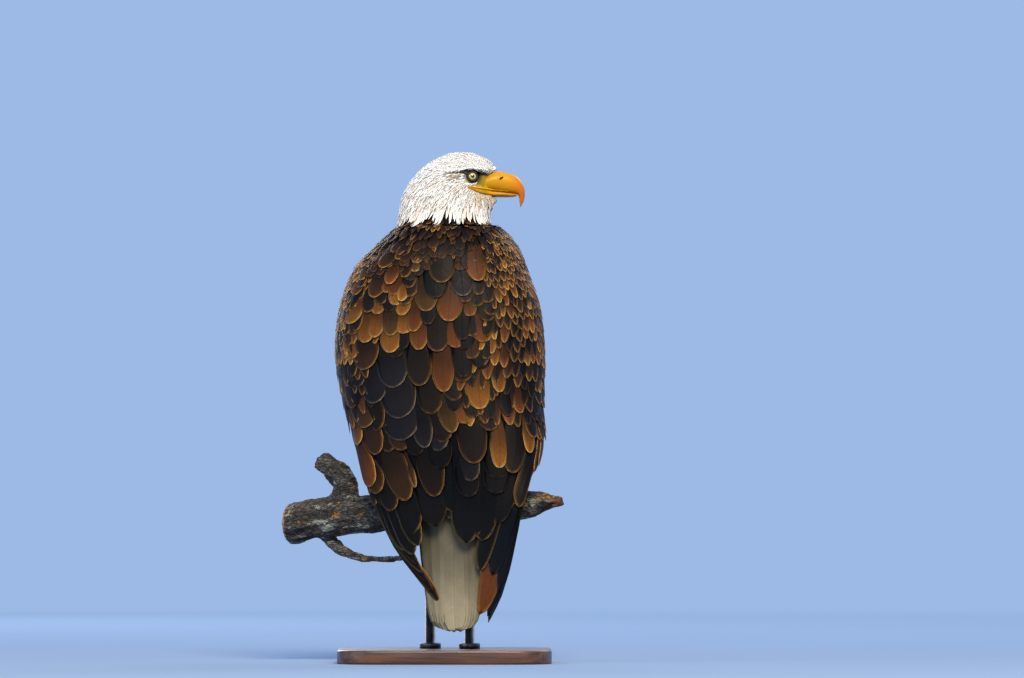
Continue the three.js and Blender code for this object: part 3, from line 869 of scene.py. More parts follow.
class Flesh(Ground):
    """The bird's fleshy solids joined into one smooth surface."""

    NODES = (
        "trunk", "neck", "head", "thigh_left", "thigh_right", "wing_left_coverts", "wing_right_coverts",
        "foot_left", "foot_right",
    )
    VOXEL = 0.0032

    def __init__(self) -> None:
        """Joins, remeshes and smooths the solids."""
        meshes = [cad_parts[name].data for name in self.NODES]
        self.piece = remeshed("skin", meshes, self.VOXEL, 0.0005)
        mesh = self.piece.data
        points = read_points(mesh)
        rounds = np.where(points[:, 2] < 0.318, 3, np.where(points[:, 2] > 0.735, 5, 16))
        points = relaxed(mesh, points, rounds)
        write_points(mesh, points)
        split_near(mesh, [HEAD + np.array((44, 24 * side, 777)) * MM for side in (-1, 1)], 0.037, 1)
        points = read_points(mesh)
        self.points = browed(relaxed(mesh, points, np.where(points[:, 2] > 0.72, 2, 0)))
        write_points(mesh, self.points)
        self.normals = read_points(mesh, "normal")
        self.faces = [tuple(face.vertices) for face in mesh.polygons]
        self.tree = BVHTree.FromPolygons([Vector(p) for p in self.points], self.faces)
        self.quads = np.array([face[:4] if len(face) > 3 else (*face, face[2]) for face in self.faces])

    def settle(self, points: Array) -> tuple[Array, Array]:
        """Points brought to the nearest place on the surface, and its outward normals there."""
        flat = points.reshape(-1, 3)
        places, normals = np.empty_like(flat), np.empty_like(flat)
        for i, point in enumerate(flat):
            place, _, face, _ = self.tree.find_nearest(point)
            places[i] = place
            normals[i] = self.normals[list(self.faces[face])].mean(0)
        return places.reshape(points.shape), unit(normals).reshape(points.shape)

    def scatter(self, rng: np.random.Generator, gap: Callable[[Array], Array], keep: Callable[[Array], Array]) -> Array:
        """Roots spread evenly over part of the surface.

        Args:
            rng: The seeded source of chance.
            gap: The least distance between roots, at given places.
            keep: True where roots may be.

        Returns:
            Places on the surface.
        """
        corners = self.points[self.quads]
        centre = corners.mean(1)
        area = np.linalg.norm(np.cross(corners[:, 2] - corners[:, 0], corners[:, 3] - corners[:, 1]), axis=1) / 2
        weight = np.where(keep(centre), area / gap(centre) ** 2, 0)
        many = int(weight.sum() * 5)
        chosen = corners[rng.choice(len(corners), many, p=weight / weight.sum())]
        s, t = rng.random((2, many, 1))
        low = chosen[:, 0] * (1 - s) + chosen[:, 1] * s
        high = chosen[:, 3] * (1 - s) + chosen[:, 2] * s
        spots = low * (1 - t) + high * t
        reach = gap(spots)
        cells = np.floor(spots / float(reach.max())).astype(int)
        grid: dict[tuple[int, int, int], list[int]] = {}
        around = [(x, y, z) for x in (-1, 0, 1) for y in (-1, 0, 1) for z in (-1, 0, 1)]
        taken = []
        for i, (x, y, z) in enumerate(cells.tolist()):
            near = [j for dx, dy, dz in around for j in grid.get((x + dx, y + dy, z + dz), ())]
            if near and (((spots[near] - spots[i]) ** 2).sum(1) < reach[i] ** 2).any():
                continue
            grid.setdefault((x, y, z), []).append(i)
            taken.append(i)
        return spots[taken]


# ---- feathers ----


@dataclass(frozen=True)
class Cut:
    """The outline of a vane.

    Attributes:
        base: Width at the root against the widest.
        rise: Where along the vane it reaches full width.
        shoulder: Where the tip begins to close.
        power: How full the tip is.
        close: How bluntly the tip closes.
    """

    base: float
    rise: float
    shoulder: float
    power: float
    close: float

    def width(self, along: Array) -> Array:
        """Share of the full width at shares of the length."""
        wide = self.base + (1 - self.base) * smooth(0, self.rise, along)
        beyond = np.clip((along - self.shoulder) / (1 - self.shoulder), 0, 1)
        return wide * (1 - beyond**self.power) ** self.close


class Shape(Enum):
    """The kinds of vane on the bird."""

    ROUND = Cut(0.45, 0.6, 0.62, 2.0, 0.5)
    OVAL = Cut(0.45, 0.6, 0.5, 1.9, 0.6)
    POINTED = Cut(0.45, 0.5, 0.42, 1.5, 0.8)
    COVERT = Cut(0.45, 0.55, 0.45, 1.6, 0.68)
    HACKLE = Cut(0.4, 0.35, 0.25, 1.25, 0.95)
    BLADE = Cut(0.7, 0.3, 0.78, 2.0, 0.55)
    BLUNT = Cut(0.7, 0.3, 0.87, 2.4, 0.5)
    SCALE = Cut(0.9, 0.3, 0.45, 2.2, 0.5)


@dataclass(frozen=True)
class Shade:
    """One feather's colours.

    Attributes:
        body: Colour of the vane.
        rim: Colour of its worn edge.
        rim_width: Width of that edge, in metres.
    """

    body: Colour
    rim: Colour
    rim_width: float = 0.0011


class Tone(Enum):
    """The feather colours that the bird shows; some of them carry painted shade."""

    BLACK = Shade(linear(13, 11, 12), linear(96, 68, 40), 0.0010)
    SLATE = Shade(linear(24, 21, 25), linear(150, 128, 100), 0.0011)
    DARK = Shade(linear(26, 17, 12), linear(160, 112, 58), 0.0013)
    BROWN = Shade(linear(49, 30, 14), linear(178, 124, 62), 0.0013)
    RUFOUS = Shade(linear(88, 47, 18), linear(190, 132, 66), 0.0014)
    GOLD = Shade(linear(114, 68, 21), linear(208, 158, 80), 0.0015)
    OLIVE = Shade(linear(66, 44, 19), linear(180, 138, 72), 0.0013)
    # White head feathers painted grey as painted shade, behind the eye and under the rear of the brow.
    ASH_SHADE = Shade(linear(168, 156, 138), linear(192, 182, 164), 0.0007)
    # Dark bristles along the brow's lower edge, darkened further as the brow's painted shadow.
    BRISTLE_SHADOW = Shade(linear(44, 37, 30), linear(84, 74, 62), 0.0006)
    WHITE = Shade(linear(240, 236, 229), linear(249, 247, 243), 0.0008)
    CREAM = Shade(linear(229, 212, 196), linear(240, 230, 219), 0.0008)
    BUFF = Shade(linear(224, 202, 168), linear(238, 222, 196), 0.0008)
    # The white tail's cream, dulled to grey-brown as painted shade.
    IVORY_SHADED = Shade(linear(146, 136, 112), linear(176, 164, 138), 0.0013)
    FLIGHT = Shade(linear(8, 9, 10), linear(154, 118, 66), 0.0011)
    # Black flight feathers painted bluish-black as painted shade, for the shaded right edge of the wing.
    BLUE_SHADED_BLACK = Shade(linear(9, 12, 20), linear(70, 78, 92), 0.0007)
    EDGED = Shade(linear(13, 11, 11), linear(150, 104, 48), 0.0013)
    SOOT = Shade(linear(27, 17, 13), linear(84, 56, 38), 0.0010)
    UMBER = Shade(linear(44, 26, 14), linear(112, 74, 42), 0.0011)
    SCUTE = Shade(linear(228, 172, 40), linear(176, 120, 24), 0.0006)


@dataclass
class Feather:
    """One feather, ready to be laid.

    Attributes:
        place: Where it grows from, or where its tip lies in a coat laid by tips.
        length: Length in metres.
        width: Greatest width in metres.
        tone: Its colours.
        lift: Height above the surface at the root and at the tip, in metres.
        heading: Angle from the lie of the coat, towards the left as it is looked at, in radians.
        bend: Further turn along its length, in radians.
        roll: Rise of its left edge, as height over distance from the shaft.
        light: Brightness against the tone's own.
    """

    place: Array
    length: float
    width: float
    tone: Tone
    lift: tuple[float, float] = (-0.004, 0.0)
    heading: float = 0.0
    bend: float = 0.0
    roll: float = 0.0
    light: float = 1.0


@dataclass(frozen=True)
class Detail:
    """How finely a vane is meshed, and how it is curved.

    Attributes:
        across: Steps from edge to edge, an even number.
        along: Steps from root to tip.
        camber: Fall of the edges against the half width.
        thickness: Thickness at the shaft, in metres.
        wrap: True to bring every vertex down to the surface, not only the shaft.
    """

    across: int = 4
    along: int = 5
    camber: float = 0.1
    thickness: float = 0.0006
    wrap: bool = False


FINE = Detail(8, 12, 0.07, 0.0007, True)
MEDIUM = Detail(6, 8, 0.08, 0.0006, True)
SMALL = Detail(4, 5)
TINY = Detail(2, 5, 0.1, 0.0003)


@dataclass
class Coat:
    """A set of feathers laid as one piece.

    Attributes:
        name: The piece's name.
        ground: The surface the feathers lie on.
        shape: The outline of its vanes.
        detail: How finely they are meshed.
        by_tip: True if a feather's place is its tip.
        lie: The way the feathers lie, where it isn't the ground's own.
        patch: Size of a feather's patch on the baking map.
        ragged: How uneven the edges are.
        feathers: The feathers laid so far.
    """

    name: str
    ground: Ground
    shape: Shape
    detail: Detail = SMALL
    by_tip: bool = False
    lie: Callable[[Array, Array], Array] | None = None
    patch: float = 0.003
    ragged: float = 0.035
    feathers: list[Feather] = field(default_factory=list)

    def rows(self) -> Array:
        """Shares of the length at which a vane has vertices, closer together at the tip."""
        steps = np.arange(self.detail.along + 1) / self.detail.along
        return 1 - (1 - steps) ** 1.45

    def value(self, name: str) -> Array:
        """One attribute of every feather."""
        return np.array([getattr(feather, name) for feather in self.feathers])

    def shafts(self, along: Array) -> tuple[Array, Array]:
        """Walks every shaft over the ground.

        Args:
            along: Shares of the length at the rows.

        Returns:
            Places along the shafts from root to tip, and the ground's normals there.
        """
        lie = self.lie or self.ground.lie
        length, heading, bend = self.value("length"), self.value("heading"), self.value("bend")
        order = list(range(len(along)))
        way = -1 if self.by_tip else 1
        place, normal = self.ground.settle(self.value("place"))
        places, normals = [place], [normal]
        for here, there in zip(order[::way], order[::way][1:]):
            step = (along[there] - along[here]) * length
            ahead = lie(place, normal)
            side = unit(np.cross(ahead, normal))
            angle = (heading + bend * (along[here] + along[there] - 1) / 2)[:, None]
            place, normal = self.ground.settle(place + (ahead * np.cos(angle) + side * np.sin(angle)) * step[:, None])
            places.append(place)
            normals.append(normal)
        return np.stack(places[::way], 1), np.stack(normals[::way], 1)

    def build(self, rng: np.random.Generator) -> bpy.types.Object:
        """Meshes all the feathers.

        Args:
            rng: The seeded source of chance.

        Returns:
            The joined piece.
        """
        d, many = self.detail, len(self.feathers)
        half, lift, roll = self.value("width") / 2, self.value("lift"), self.value("roll")
        along = self.rows()
        spine, normal = self.shafts(along)
        ahead = unit(np.gradient(spine, axis=1))
        lateral = unit(np.cross(ahead, normal))
        share = self.shape.value.width(along)
        wide = half[:, None] * share[None, :]
        u = np.linspace(-1, 1, d.across + 1)
        ragged = rng.normal(0, self.ragged, (many, len(along), 2))
        gain = 1 + np.where(u < 0, ragged[..., :1], ragged[..., 1:]) * np.abs(u)
        offset = wide[..., None] * u * gain
        grid = spine[:, :, None] + lateral[:, :, None] * offset[..., None]
        high = np.repeat(normal[:, :, None], d.across + 1, 2)
        if d.wrap:
            grid, high = self.ground.settle(grid)
        rise = lift[:, :1] + (lift[:, 1:] - lift[:, :1]) * along[None, :] ** 0.85
        fall = d.camber * half[:, None, None] * (u**2)[None, None, :] * share[None, :, None]
        grid = grid + high * (rise[..., None] - fall + roll[:, None, None] * offset)[..., None]
        under = grid[:, :-1, d.across // 2] - normal[:, :-1] * d.thickness
        body = np.concatenate((grid[:, :-1], under[:, :, None]), 2).reshape(many, -1, 3)
        points = np.concatenate((body, grid[:, -1:, d.across // 2]), 1)
        piece = self.mesh(points)
        edge = self.edge(along, u, wide, half)
        self.paint(piece.data, along, u, wide, edge, spine[:, 0], rng)
        return piece

    def edge(self, along: Array, u: Array, wide: Array, half: Array) -> Array:
        """Distance from the vane's edge at every vertex of its grid."""
        length = self.value("length")
        slope = np.abs(np.gradient(self.shape.value.width(along), along))[None, :] * (half / length)[:, None]
        inward = (1 - np.abs(u))[None, None, :] * wide[..., None] / np.sqrt(1 + slope**2)[..., None]
        return np.minimum(inward, ((1 - along)[None, :] * length[:, None])[..., None])

    def mesh(self, points: Array) -> bpy.types.Object:
        """Joins every feather's faces.

        Args:
            points: Vertices of each feather, (many, n, 3).

        Returns:
            The object.
        """
        many, each = points.shape[:2]
        n, under = self.detail.across, self.detail.across + 1
        row, last = n + 2, (self.detail.along - 1) * (n + 2)
        tip = row * self.detail.along
        top = [(a + j, a + j + 1, a + row + j + 1, a + row + j) for a in range(0, last, row) for j in range(n)]
        below = [
            face for a in range(0, last, row)
            for face in ((a, a + row, a + row + under, a + under), (a + under, a + row + under, a + row + n, a + n))
        ]
        fan = [(last + j, last + j + 1, tip) for j in range(n)]
        ends = [(last, tip, last + under), (last + under, tip, last + n)] + [(j, under, j + 1) for j in range(n)]
        shift = (np.arange(many) * each)[:, None, None]
        quads = (np.array(top + below)[None] + shift).reshape(-1)
        tris = (np.array(fan + ends)[None] + shift).reshape(-1)
        starts = np.concatenate((np.arange(0, len(quads), 4), len(quads) + np.arange(0, len(tris), 3)))
        flat = np.concatenate((
            np.tile([False] * len(top) + [True] * len(below), many), np.tile([False] * n + [True] * len(ends), many),
        ))
        mesh = bpy.data.meshes.new(self.name)
        mesh.vertices.add(many * each)
        mesh.vertices.foreach_set("co", points.astype(np.float32).ravel())
        mesh.loops.add(len(quads) + len(tris))
        mesh.loops.foreach_set("vertex_index", np.concatenate((quads, tris)).astype(np.int32))
        mesh.polygons.add(len(starts))
        mesh.polygons.foreach_set("loop_start", starts.astype(np.int32))
        mesh.update(calc_edges=True)
        mesh.polygons.foreach_set("use_smooth", ~flat)
        return linked(self.name, mesh)

    def paint(self, mesh: bpy.types.Mesh, along: Array, u: Array, wide: Array, edge: Array, root: Array,
              rng: np.random.Generator) -> None:
        """Writes what the finish reads, and the baking map.

        Args:
            mesh: The joined feathers.
            along: Shares of the length at the rows.
            u: Shares of the half width at the columns.
            wide: Half width at each row.
            edge: Distance from the edge.
            root: Each feather's root.
            rng: The seeded source of chance.
        """
        many, middle = len(self.feathers), len(u) // 2

        def laid(values: Array) -> Array:
            """Values of the grid, in the order of the vertices."""
            full = np.broadcast_to(values, edge.shape)
            body = np.concatenate((full[:, :-1], full[:, :-1, middle:middle + 1]), 2).reshape(many, -1)
            return np.concatenate((body, full[:, -1, middle:middle + 1]), 1)

        down = along[None, :, None] * self.value("length")[:, None, None]
        shares = laid(along[None, :, None])
        tones = [feather.tone.value for feather in self.feathers]
        seed, rim_width = rng.random((many, 1)), np.array([[tone.rim_width] for tone in tones])
        plan = np.stack(np.broadcast_arrays(shares, seed, rim_width), -1)
        give_vector(mesh, "vane", np.stack((laid(wide[..., None] * u), laid(down), laid(edge)), -1).reshape(-1, 3))
        give_vector(mesh, "plan", plan.reshape(-1, 3))
        light = self.value("light")[:, None]
        each = shares.shape[1]
        give_colour(mesh, "tint", np.repeat(np.array([tone.body for tone in tones]) * light, each, 0))
        give_colour(mesh, "rim", np.repeat(np.array([tone.rim for tone in tones]) * light**0.7, each, 0))
        local = np.stack((laid(u) / 2, shares - 0.5), -1) * self.patch
        uv = (unwrapped(root)[:, None] + local).reshape(-1, 2)
        corners = np.empty(len(mesh.loops), np.int32)
        mesh.loops.foreach_get("vertex_index", corners)
        mesh.uv_layers.new(name="OFBake").data.foreach_set("uv", uv[corners].astype(np.float32).ravel())


def unwrapped(points: Array) -> Array:
    """Places of the bird on its skin rolled out flat, round the body and up it.

    Args:
        points: Places in the row's frame, (n, 3).

    Returns:
        Places on the map, from 0.01 to 0.99.
    """
    turn = np.arctan2(points[:, 0], GRIP[1] - points[:, 1]) / (2 * math.pi) + 0.5
    height = (points[:, 2] - 0.05) / 0.78
    return 0.01 + 0.98 * np.clip(np.stack((turn, height), 1), 0, 1)


@dataclass(frozen=True)
class Seen:
    """A feather of the back, by its tip as met from straight behind.

    Attributes:
        x: Row-frame x of the tip, in millimetres.
        z: Height of the tip, in millimetres.
        width: Width as met from there, in millimetres.
        tone: Its colours.
        stretch: Length against that width.
        lean: How far its root lies to the right of its tip, in degrees.
        rise: Extra height over its neighbours, in millimetres.
    """

    x: float
    z: float
    width: float
    tone: Tone
    stretch: float = 2.4
    lean: float = 0.0
    rise: float = 0.0


def laid_from_behind(coat: Coat, seen: Sequence[Seen], lift: tuple[float, float], rng: np.random.Generator) -> None:
    """Adds feathers that are placed as met from behind.

    Args:
        coat: The coat, laid by tips.
        seen: The feathers.
        lift: Height of root and tip above the surface, in metres.
        rng: The seeded source of chance.
    """
    tips = OUTLINE.behind(np.array([s.x for s in seen]) * MM, np.array([s.z for s in seen]) * MM)
    _, normals = OUTLINE.settle(tips)
    side = unit(np.cross(OUTLINE.lie(tips, normals), normals))
    for s, tip, across in zip(seen, tips, side):
        facing = max(abs(across[0]), 0.5)
        coat.feathers.append(Feather(
            place=tip, length=s.width * s.stretch * MM, width=s.width / facing * MM, tone=s.tone,
            lift=(lift[0] + s.rise * MM, lift[1] + s.rise * MM + 0.0012 * float(smooth(560, 600, s.z))),
            heading=math.radians(s.lean),
            bend=rng.normal(0, 0.04), light=rng.uniform(0.88, 1.12),
        ))


# ---- back, wings and tail ----

T = Tone
SCAPULARS = (
    Seen(54, 605, 34, T.RUFOUS), Seen(-4, 602, 44, T.DARK, 2.0), Seen(30, 581, 38, T.SLATE, 2.0),
    Seen(-14, 578, 42, T.BLACK, 2.0), Seen(-29, 557, 40, T.OLIVE, 2.2), Seen(6, 541, 43, T.RUFOUS, 2.0, 6),
    Seen(-26, 536, 27, T.BLACK), Seen(29, 511, 30, T.BLACK, 3.0), Seen(-11, 493, 46, T.DARK, 2.1, 4),
    Seen(-40, 496, 32, T.RUFOUS), Seen(-50, 525, 28, T.RUFOUS, 2.4, 6), Seen(-86, 492, 37, T.GOLD, 2.2),
    Seen(-86, 519, 32, T.OLIVE), Seen(-126, 509, 31, T.GOLD, 2.2), Seen(-113, 517, 27, T.GOLD, 2.2, 8),
    Seen(-150, 540, 32, T.GOLD, 2.0, -8), Seen(-123, 557, 27, T.DARK, 2.2), Seen(-115, 581, 28, T.BROWN, 2.2, 10),
    Seen(-88, 601, 22, T.RUFOUS, 2.2), Seen(-70, 574, 20, T.GOLD, 2.6, 14), Seen(-100, 628, 24, T.BROWN, 2.2),
    Seen(-126, 466, 43, T.BROWN, 2.0), Seen(-78, 437, 52, T.SLATE, 2.1, -3), Seen(-37, 439, 42, T.DARK, 2.3),
    Seen(0, 429, 37, T.RUFOUS, 2.9, 2), Seen(-109, 413, 44, T.SLATE, 2.0), Seen(-66, 389, 58, T.SLATE, 1.9, 0, 0.8),
    Seen(-62, 354, 66, T.SLATE, 2.0, 0, 0.4), Seen(-30, 341, 34, T.SLATE, 3.2, 4), Seen(14, 365, 33, T.OLIVE, 3.0),
    Seen(58, 402, 42, T.GOLD, 2.3), Seen(30, 452, 30, T.BLACK, 3.0), Seen(47, 316, 49, T.DARK, 2.4, 3),
    Seen(87, 309, 31, T.GOLD, 3.0, 3), Seen(106, 301, 41, T.DARK, 3.0, 4), Seen(134, 333, 20, T.GOLD, 4.0),
    Seen(74, 386, 23, T.BLACK, 3.2), Seen(102, 391, 23, T.BLACK, 3.2), Seen(141, 357, 20, T.DARK, 3.4),
    Seen(120, 396, 20, T.RUFOUS, 3.0), Seen(87, 429, 23, T.GOLD, 2.6), Seen(-123, 375, 36, T.OLIVE, 2.0),
    Seen(-136, 349, 20, T.GOLD, 2.6, -6), Seen(-106, 332, 34, T.BROWN, 3.0, -4), Seen(-114, 282, 34, T.RUFOUS, 4.0, -10),
    Seen(-59, 258, 43, T.BROWN, 3.4, -6), Seen(-14, 264, 44, T.DARK, 3.0, 2), Seen(-46, 279, 12, T.OLIVE, 5.0, -4),
)

# Tertials and secondaries: each ends in a broad blunt tip below the last.
INNER_QUILLS = (
    Seen(-50, 205, 50, T.FLIGHT, 4.2, -8), Seen(-14, 216, 48, T.BLACK, 4.2, -2, 0.6), Seen(35, 189, 50, T.FLIGHT, 5.0, 3, 1.2),
    Seen(12, 240, 52, T.FLIGHT, 4.0, 0, -0.6), Seen(-78, 262, 44, T.BLACK, 4.2, -14, -0.4), Seen(84, 222, 40, T.BLACK, 5.0, 6, -0.6),
    Seen(59, 194, 42, T.FLIGHT, 5.0, 5, 0.4), Seen(118, 247, 26, T.DARK, 6.0, 6),
)


@dataclass(frozen=True)
class Quill:
    """A flight feather of the folded wing, by the turn and height of both its ends.

    Attributes:
        tip_turn: Angle of the tip from the middle of the back, in degrees, outwards.
        tip_z: Height of the tip, in millimetres.
        root_turn: Angle of the root.
        root_z: Height of the root.
        width: Greatest width, in millimetres.
        tone: Its colours.
        rank: How deep it lies, in feathers.
        sweep: How late along its length it swings from root to tip.
    """

    tip_turn: float
    tip_z: float
    root_turn: float
    root_z: float
    width: float
    tone: Tone = Tone.FLIGHT
    rank: float = 0.0
    sweep: float = 1.6


@dataclass
class QuillCoat(Coat):
    """Flight feathers laid between set ends.

    Attributes:
        quills: The feathers.
        side: 1 on the right wing, -1 on the left.
    """

    quills: list[Quill] = field(default_factory=list)
    side: int = 1

    def lay(self, rng: np.random.Generator) -> None:
        """Adds the feathers that the quills describe."""
        for quill in self.quills:
            height = -0.0012 - 0.0009 * quill.rank
            root = OUTLINE.point(math.radians(self.side * quill.root_turn), quill.root_z * MM)
            tip = OUTLINE.point(math.radians(self.side * quill.tip_turn), quill.tip_z * MM)
            self.feathers.append(Feather(
                place=root, length=float(np.linalg.norm(tip - root)), width=quill.width * MM, tone=quill.tone,
                lift=(height - 0.003, height + 0.001), roll=-0.05 * self.side, light=rng.uniform(0.85, 1.15),
            ))

    def shafts(self, along: Array) -> tuple[Array, Array]:
        """Runs every shaft from its root's turn to its tip's."""
        rows = np.array([(q.tip_turn, q.tip_z, q.root_turn, q.root_z, q.sweep) for q in self.quills])[:, None]
        tip_turn, tip_z, root_turn, root_z, sweep = (rows[..., i] for i in range(5))
        turn = np.radians(root_turn + (tip_turn - root_turn) * along**sweep) * self.side
        height = (root_z + (tip_z - root_z) * along) * MM
        return self.ground.settle(self.ground.point(turn, height))


def seen_turn(x: float, z: float) -> float:
    """Angle from the middle of the back of a place met from straight behind, in degrees, unsigned."""
    return abs(math.degrees(float(OUTLINE.turn_of(OUTLINE.behind(np.array([x * MM]), np.array([z * MM])))[0])))


def pick(rng: np.random.Generator, choices: Sequence[tuple[Tone, float]]) -> Tone:
    """A tone picked by chance, by weight."""
    weights = np.array([weight for _, weight in choices])
    return choices[int(rng.choice(len(choices), p=weights / weights.sum()))][0]


@dataclass
class Wing:
    """One folded wing: small, middle and great coverts, secondaries and primaries.

    Attributes:
        side: 1 on the right, -1 on the left.
        widths: Width of the coverts by height, in millimetres.
        edges: Inner and outer edge of the coverts by height, in degrees.
        seed: The source of chance.
    """

    side: int
    widths: Track = Track(((690, 11), (640, 13), (590, 16), (540, 19), (480, 23), (420, 26), (380, 29)))
    edges: Track = Track(((690, 66, 98), (664, 50, 117), (634, 40, 125), (560, 30, 123), (480, 21, 116), (372, 12, 104), (360, 66, 103),
                           (335, 80, 99)))
    seed: int = 11

    @property
    def name(self) -> str:
        """The side's name."""
        return "right" if self.side > 0 else "left"

    def tone(self, height: float, turn: float, rng: np.random.Generator) -> Tone:
        """A covert's tone by its place."""
        if height > 600:
            return pick(rng, ((T.DARK, 3.4), (T.BROWN, 3), (T.RUFOUS, 1.6), (T.OLIVE, 1.2), (T.GOLD, 0.8)))
        warm = 1.4 if self.side < 0 else 1.3
        if height > 470:
            return pick(rng, ((T.BLACK, 1.4), (T.DARK, 3.4), (T.BROWN, 2), (T.RUFOUS, 1.2 * warm), (T.GOLD, 1.5 * warm)))
        return pick(rng, ((T.BLACK, 2.4), (T.DARK, 3.2), (T.BROWN, 2), (T.RUFOUS, warm), (T.GOLD, warm)))

    def coverts(self, rng: np.random.Generator) -> Coat:
        """Rows of pointed, gold-edged coverts, larger downwards."""
        coat = Coat(f"coverts_{self.name}", OUTLINE, Shape.COVERT, MEDIUM, by_tip=True)
        height, row = 676.0, 0
        while height > 336:
            inner, outer = self.edges(height)
            width = float(self.widths.one(height))
            radius = float(OUTLINE.slices(height)[1]) * 0.85
            step = math.degrees(width * 0.68 / radius)
            for turn in np.arange(inner + (row % 2) * step / 2, outer, step):
                z = height + rng.normal(0, width * 0.2)
                size = width * rng.uniform(0.88, 1.16)
                place = OUTLINE.point(math.radians(self.side * (turn + rng.normal(0, step * 0.1))), z * MM)
                edge_rise = 0.0015 * float(smooth(95, 118, turn)) - 0.0022 * float(smooth(inner + 20, inner + 4, turn))
                coat.feathers.append(Feather(
                    place=place, length=size * rng.uniform(2.1, 2.5) * MM, width=size * MM,
                    tone=self.tone(z, turn, rng), lift=(-0.004 + edge_rise, 0.0006 + edge_rise),
                    heading=rng.normal(0, 0.12), bend=rng.normal(0, 0.12), roll=-0.07 * self.side,
                    light=rng.uniform(0.75, 1.2),
                ))
            height -= width * 0.92
            row += 1
        return coat

    def quills(self) -> list[Quill]:
        """The wing's secondaries and primaries, innermost first."""
        if self.side > 0:
            tips = ((24, 203), (33, 214), (41, 226), (48, 237), (55, 250), (62, 266), (69, 281), (76, 293),
                    (84, 303), (91, 312))
            # The bluish-black feathers at the right wing's outer edge are painted shade.
            far = ((55, 146, 56, 30, T.FLIGHT), (75, 140, 74, 30, T.BLUE_SHADED_BLACK), (86, 112, 86, 26, T.BLUE_SHADED_BLACK),
                   (54, 77, 60, 38, T.RUFOUS), (67, 74, 82, 24, T.BLUE_SHADED_BLACK), (70, 63, 92, 26, T.BLUE_SHADED_BLACK))
            sweep = 1.25
        else:
            tips = ((27, 186), (36, 172), (44, 178), (51, 192), (58, 210), (64, 230), (70, 249), (76, 266),
                    (84, 284), (91, 300))
            far = ((-50, 172, 78, 24, T.FLIGHT), (-44, 156, 82, 23, T.BLACK), (-37, 142, 85, 23, T.FLIGHT),
                   (-30, 128, 89, 23, T.BLACK), (-22, 112, 92, 23, T.BLACK), (-11, 92, 96, 23, T.EDGED))
            sweep = 1.5
        inner = []
        for i, (turn, z) in enumerate(tips):
            width = max(35 - 0.019 * max(turn - 50, 0) ** 2, 21)
            tone = (T.FLIGHT, T.DARK, T.BROWN)[(i > 3) + (i > 6)]
            rank = i + 2 - 2.2 * max(i - 5, 0)
            inner.append(Quill(turn, z, min(turn + 13, 103), z + 172, width, tone, rank, 1.0))
        outer = [Quill(seen_turn(x, z), z, root, 388, width, tone, 5 + i, sweep)
                 for i, (x, z, root, width, tone) in enumerate(far)]
        return inner + outer

    def build(self, finish: bpy.types.Material, flight: bpy.types.Material) -> None:
        """Builds and dresses the wing."""
        rng = np.random.default_rng(self.seed + self.side)
        coverts = self.coverts(rng).build(rng)
        dress(coverts, finish)
        coat = QuillCoat(f"flight_{self.name}", OUTLINE, Shape.BLADE, FINE, quills=self.quills(), side=self.side, ragged=0.015)
        coat.lay(rng)
        nodes = (f"wing_{self.name}_secondaries", f"wing_{self.name}_primaries")
        dress(coat.build(rng), flight, nodes)


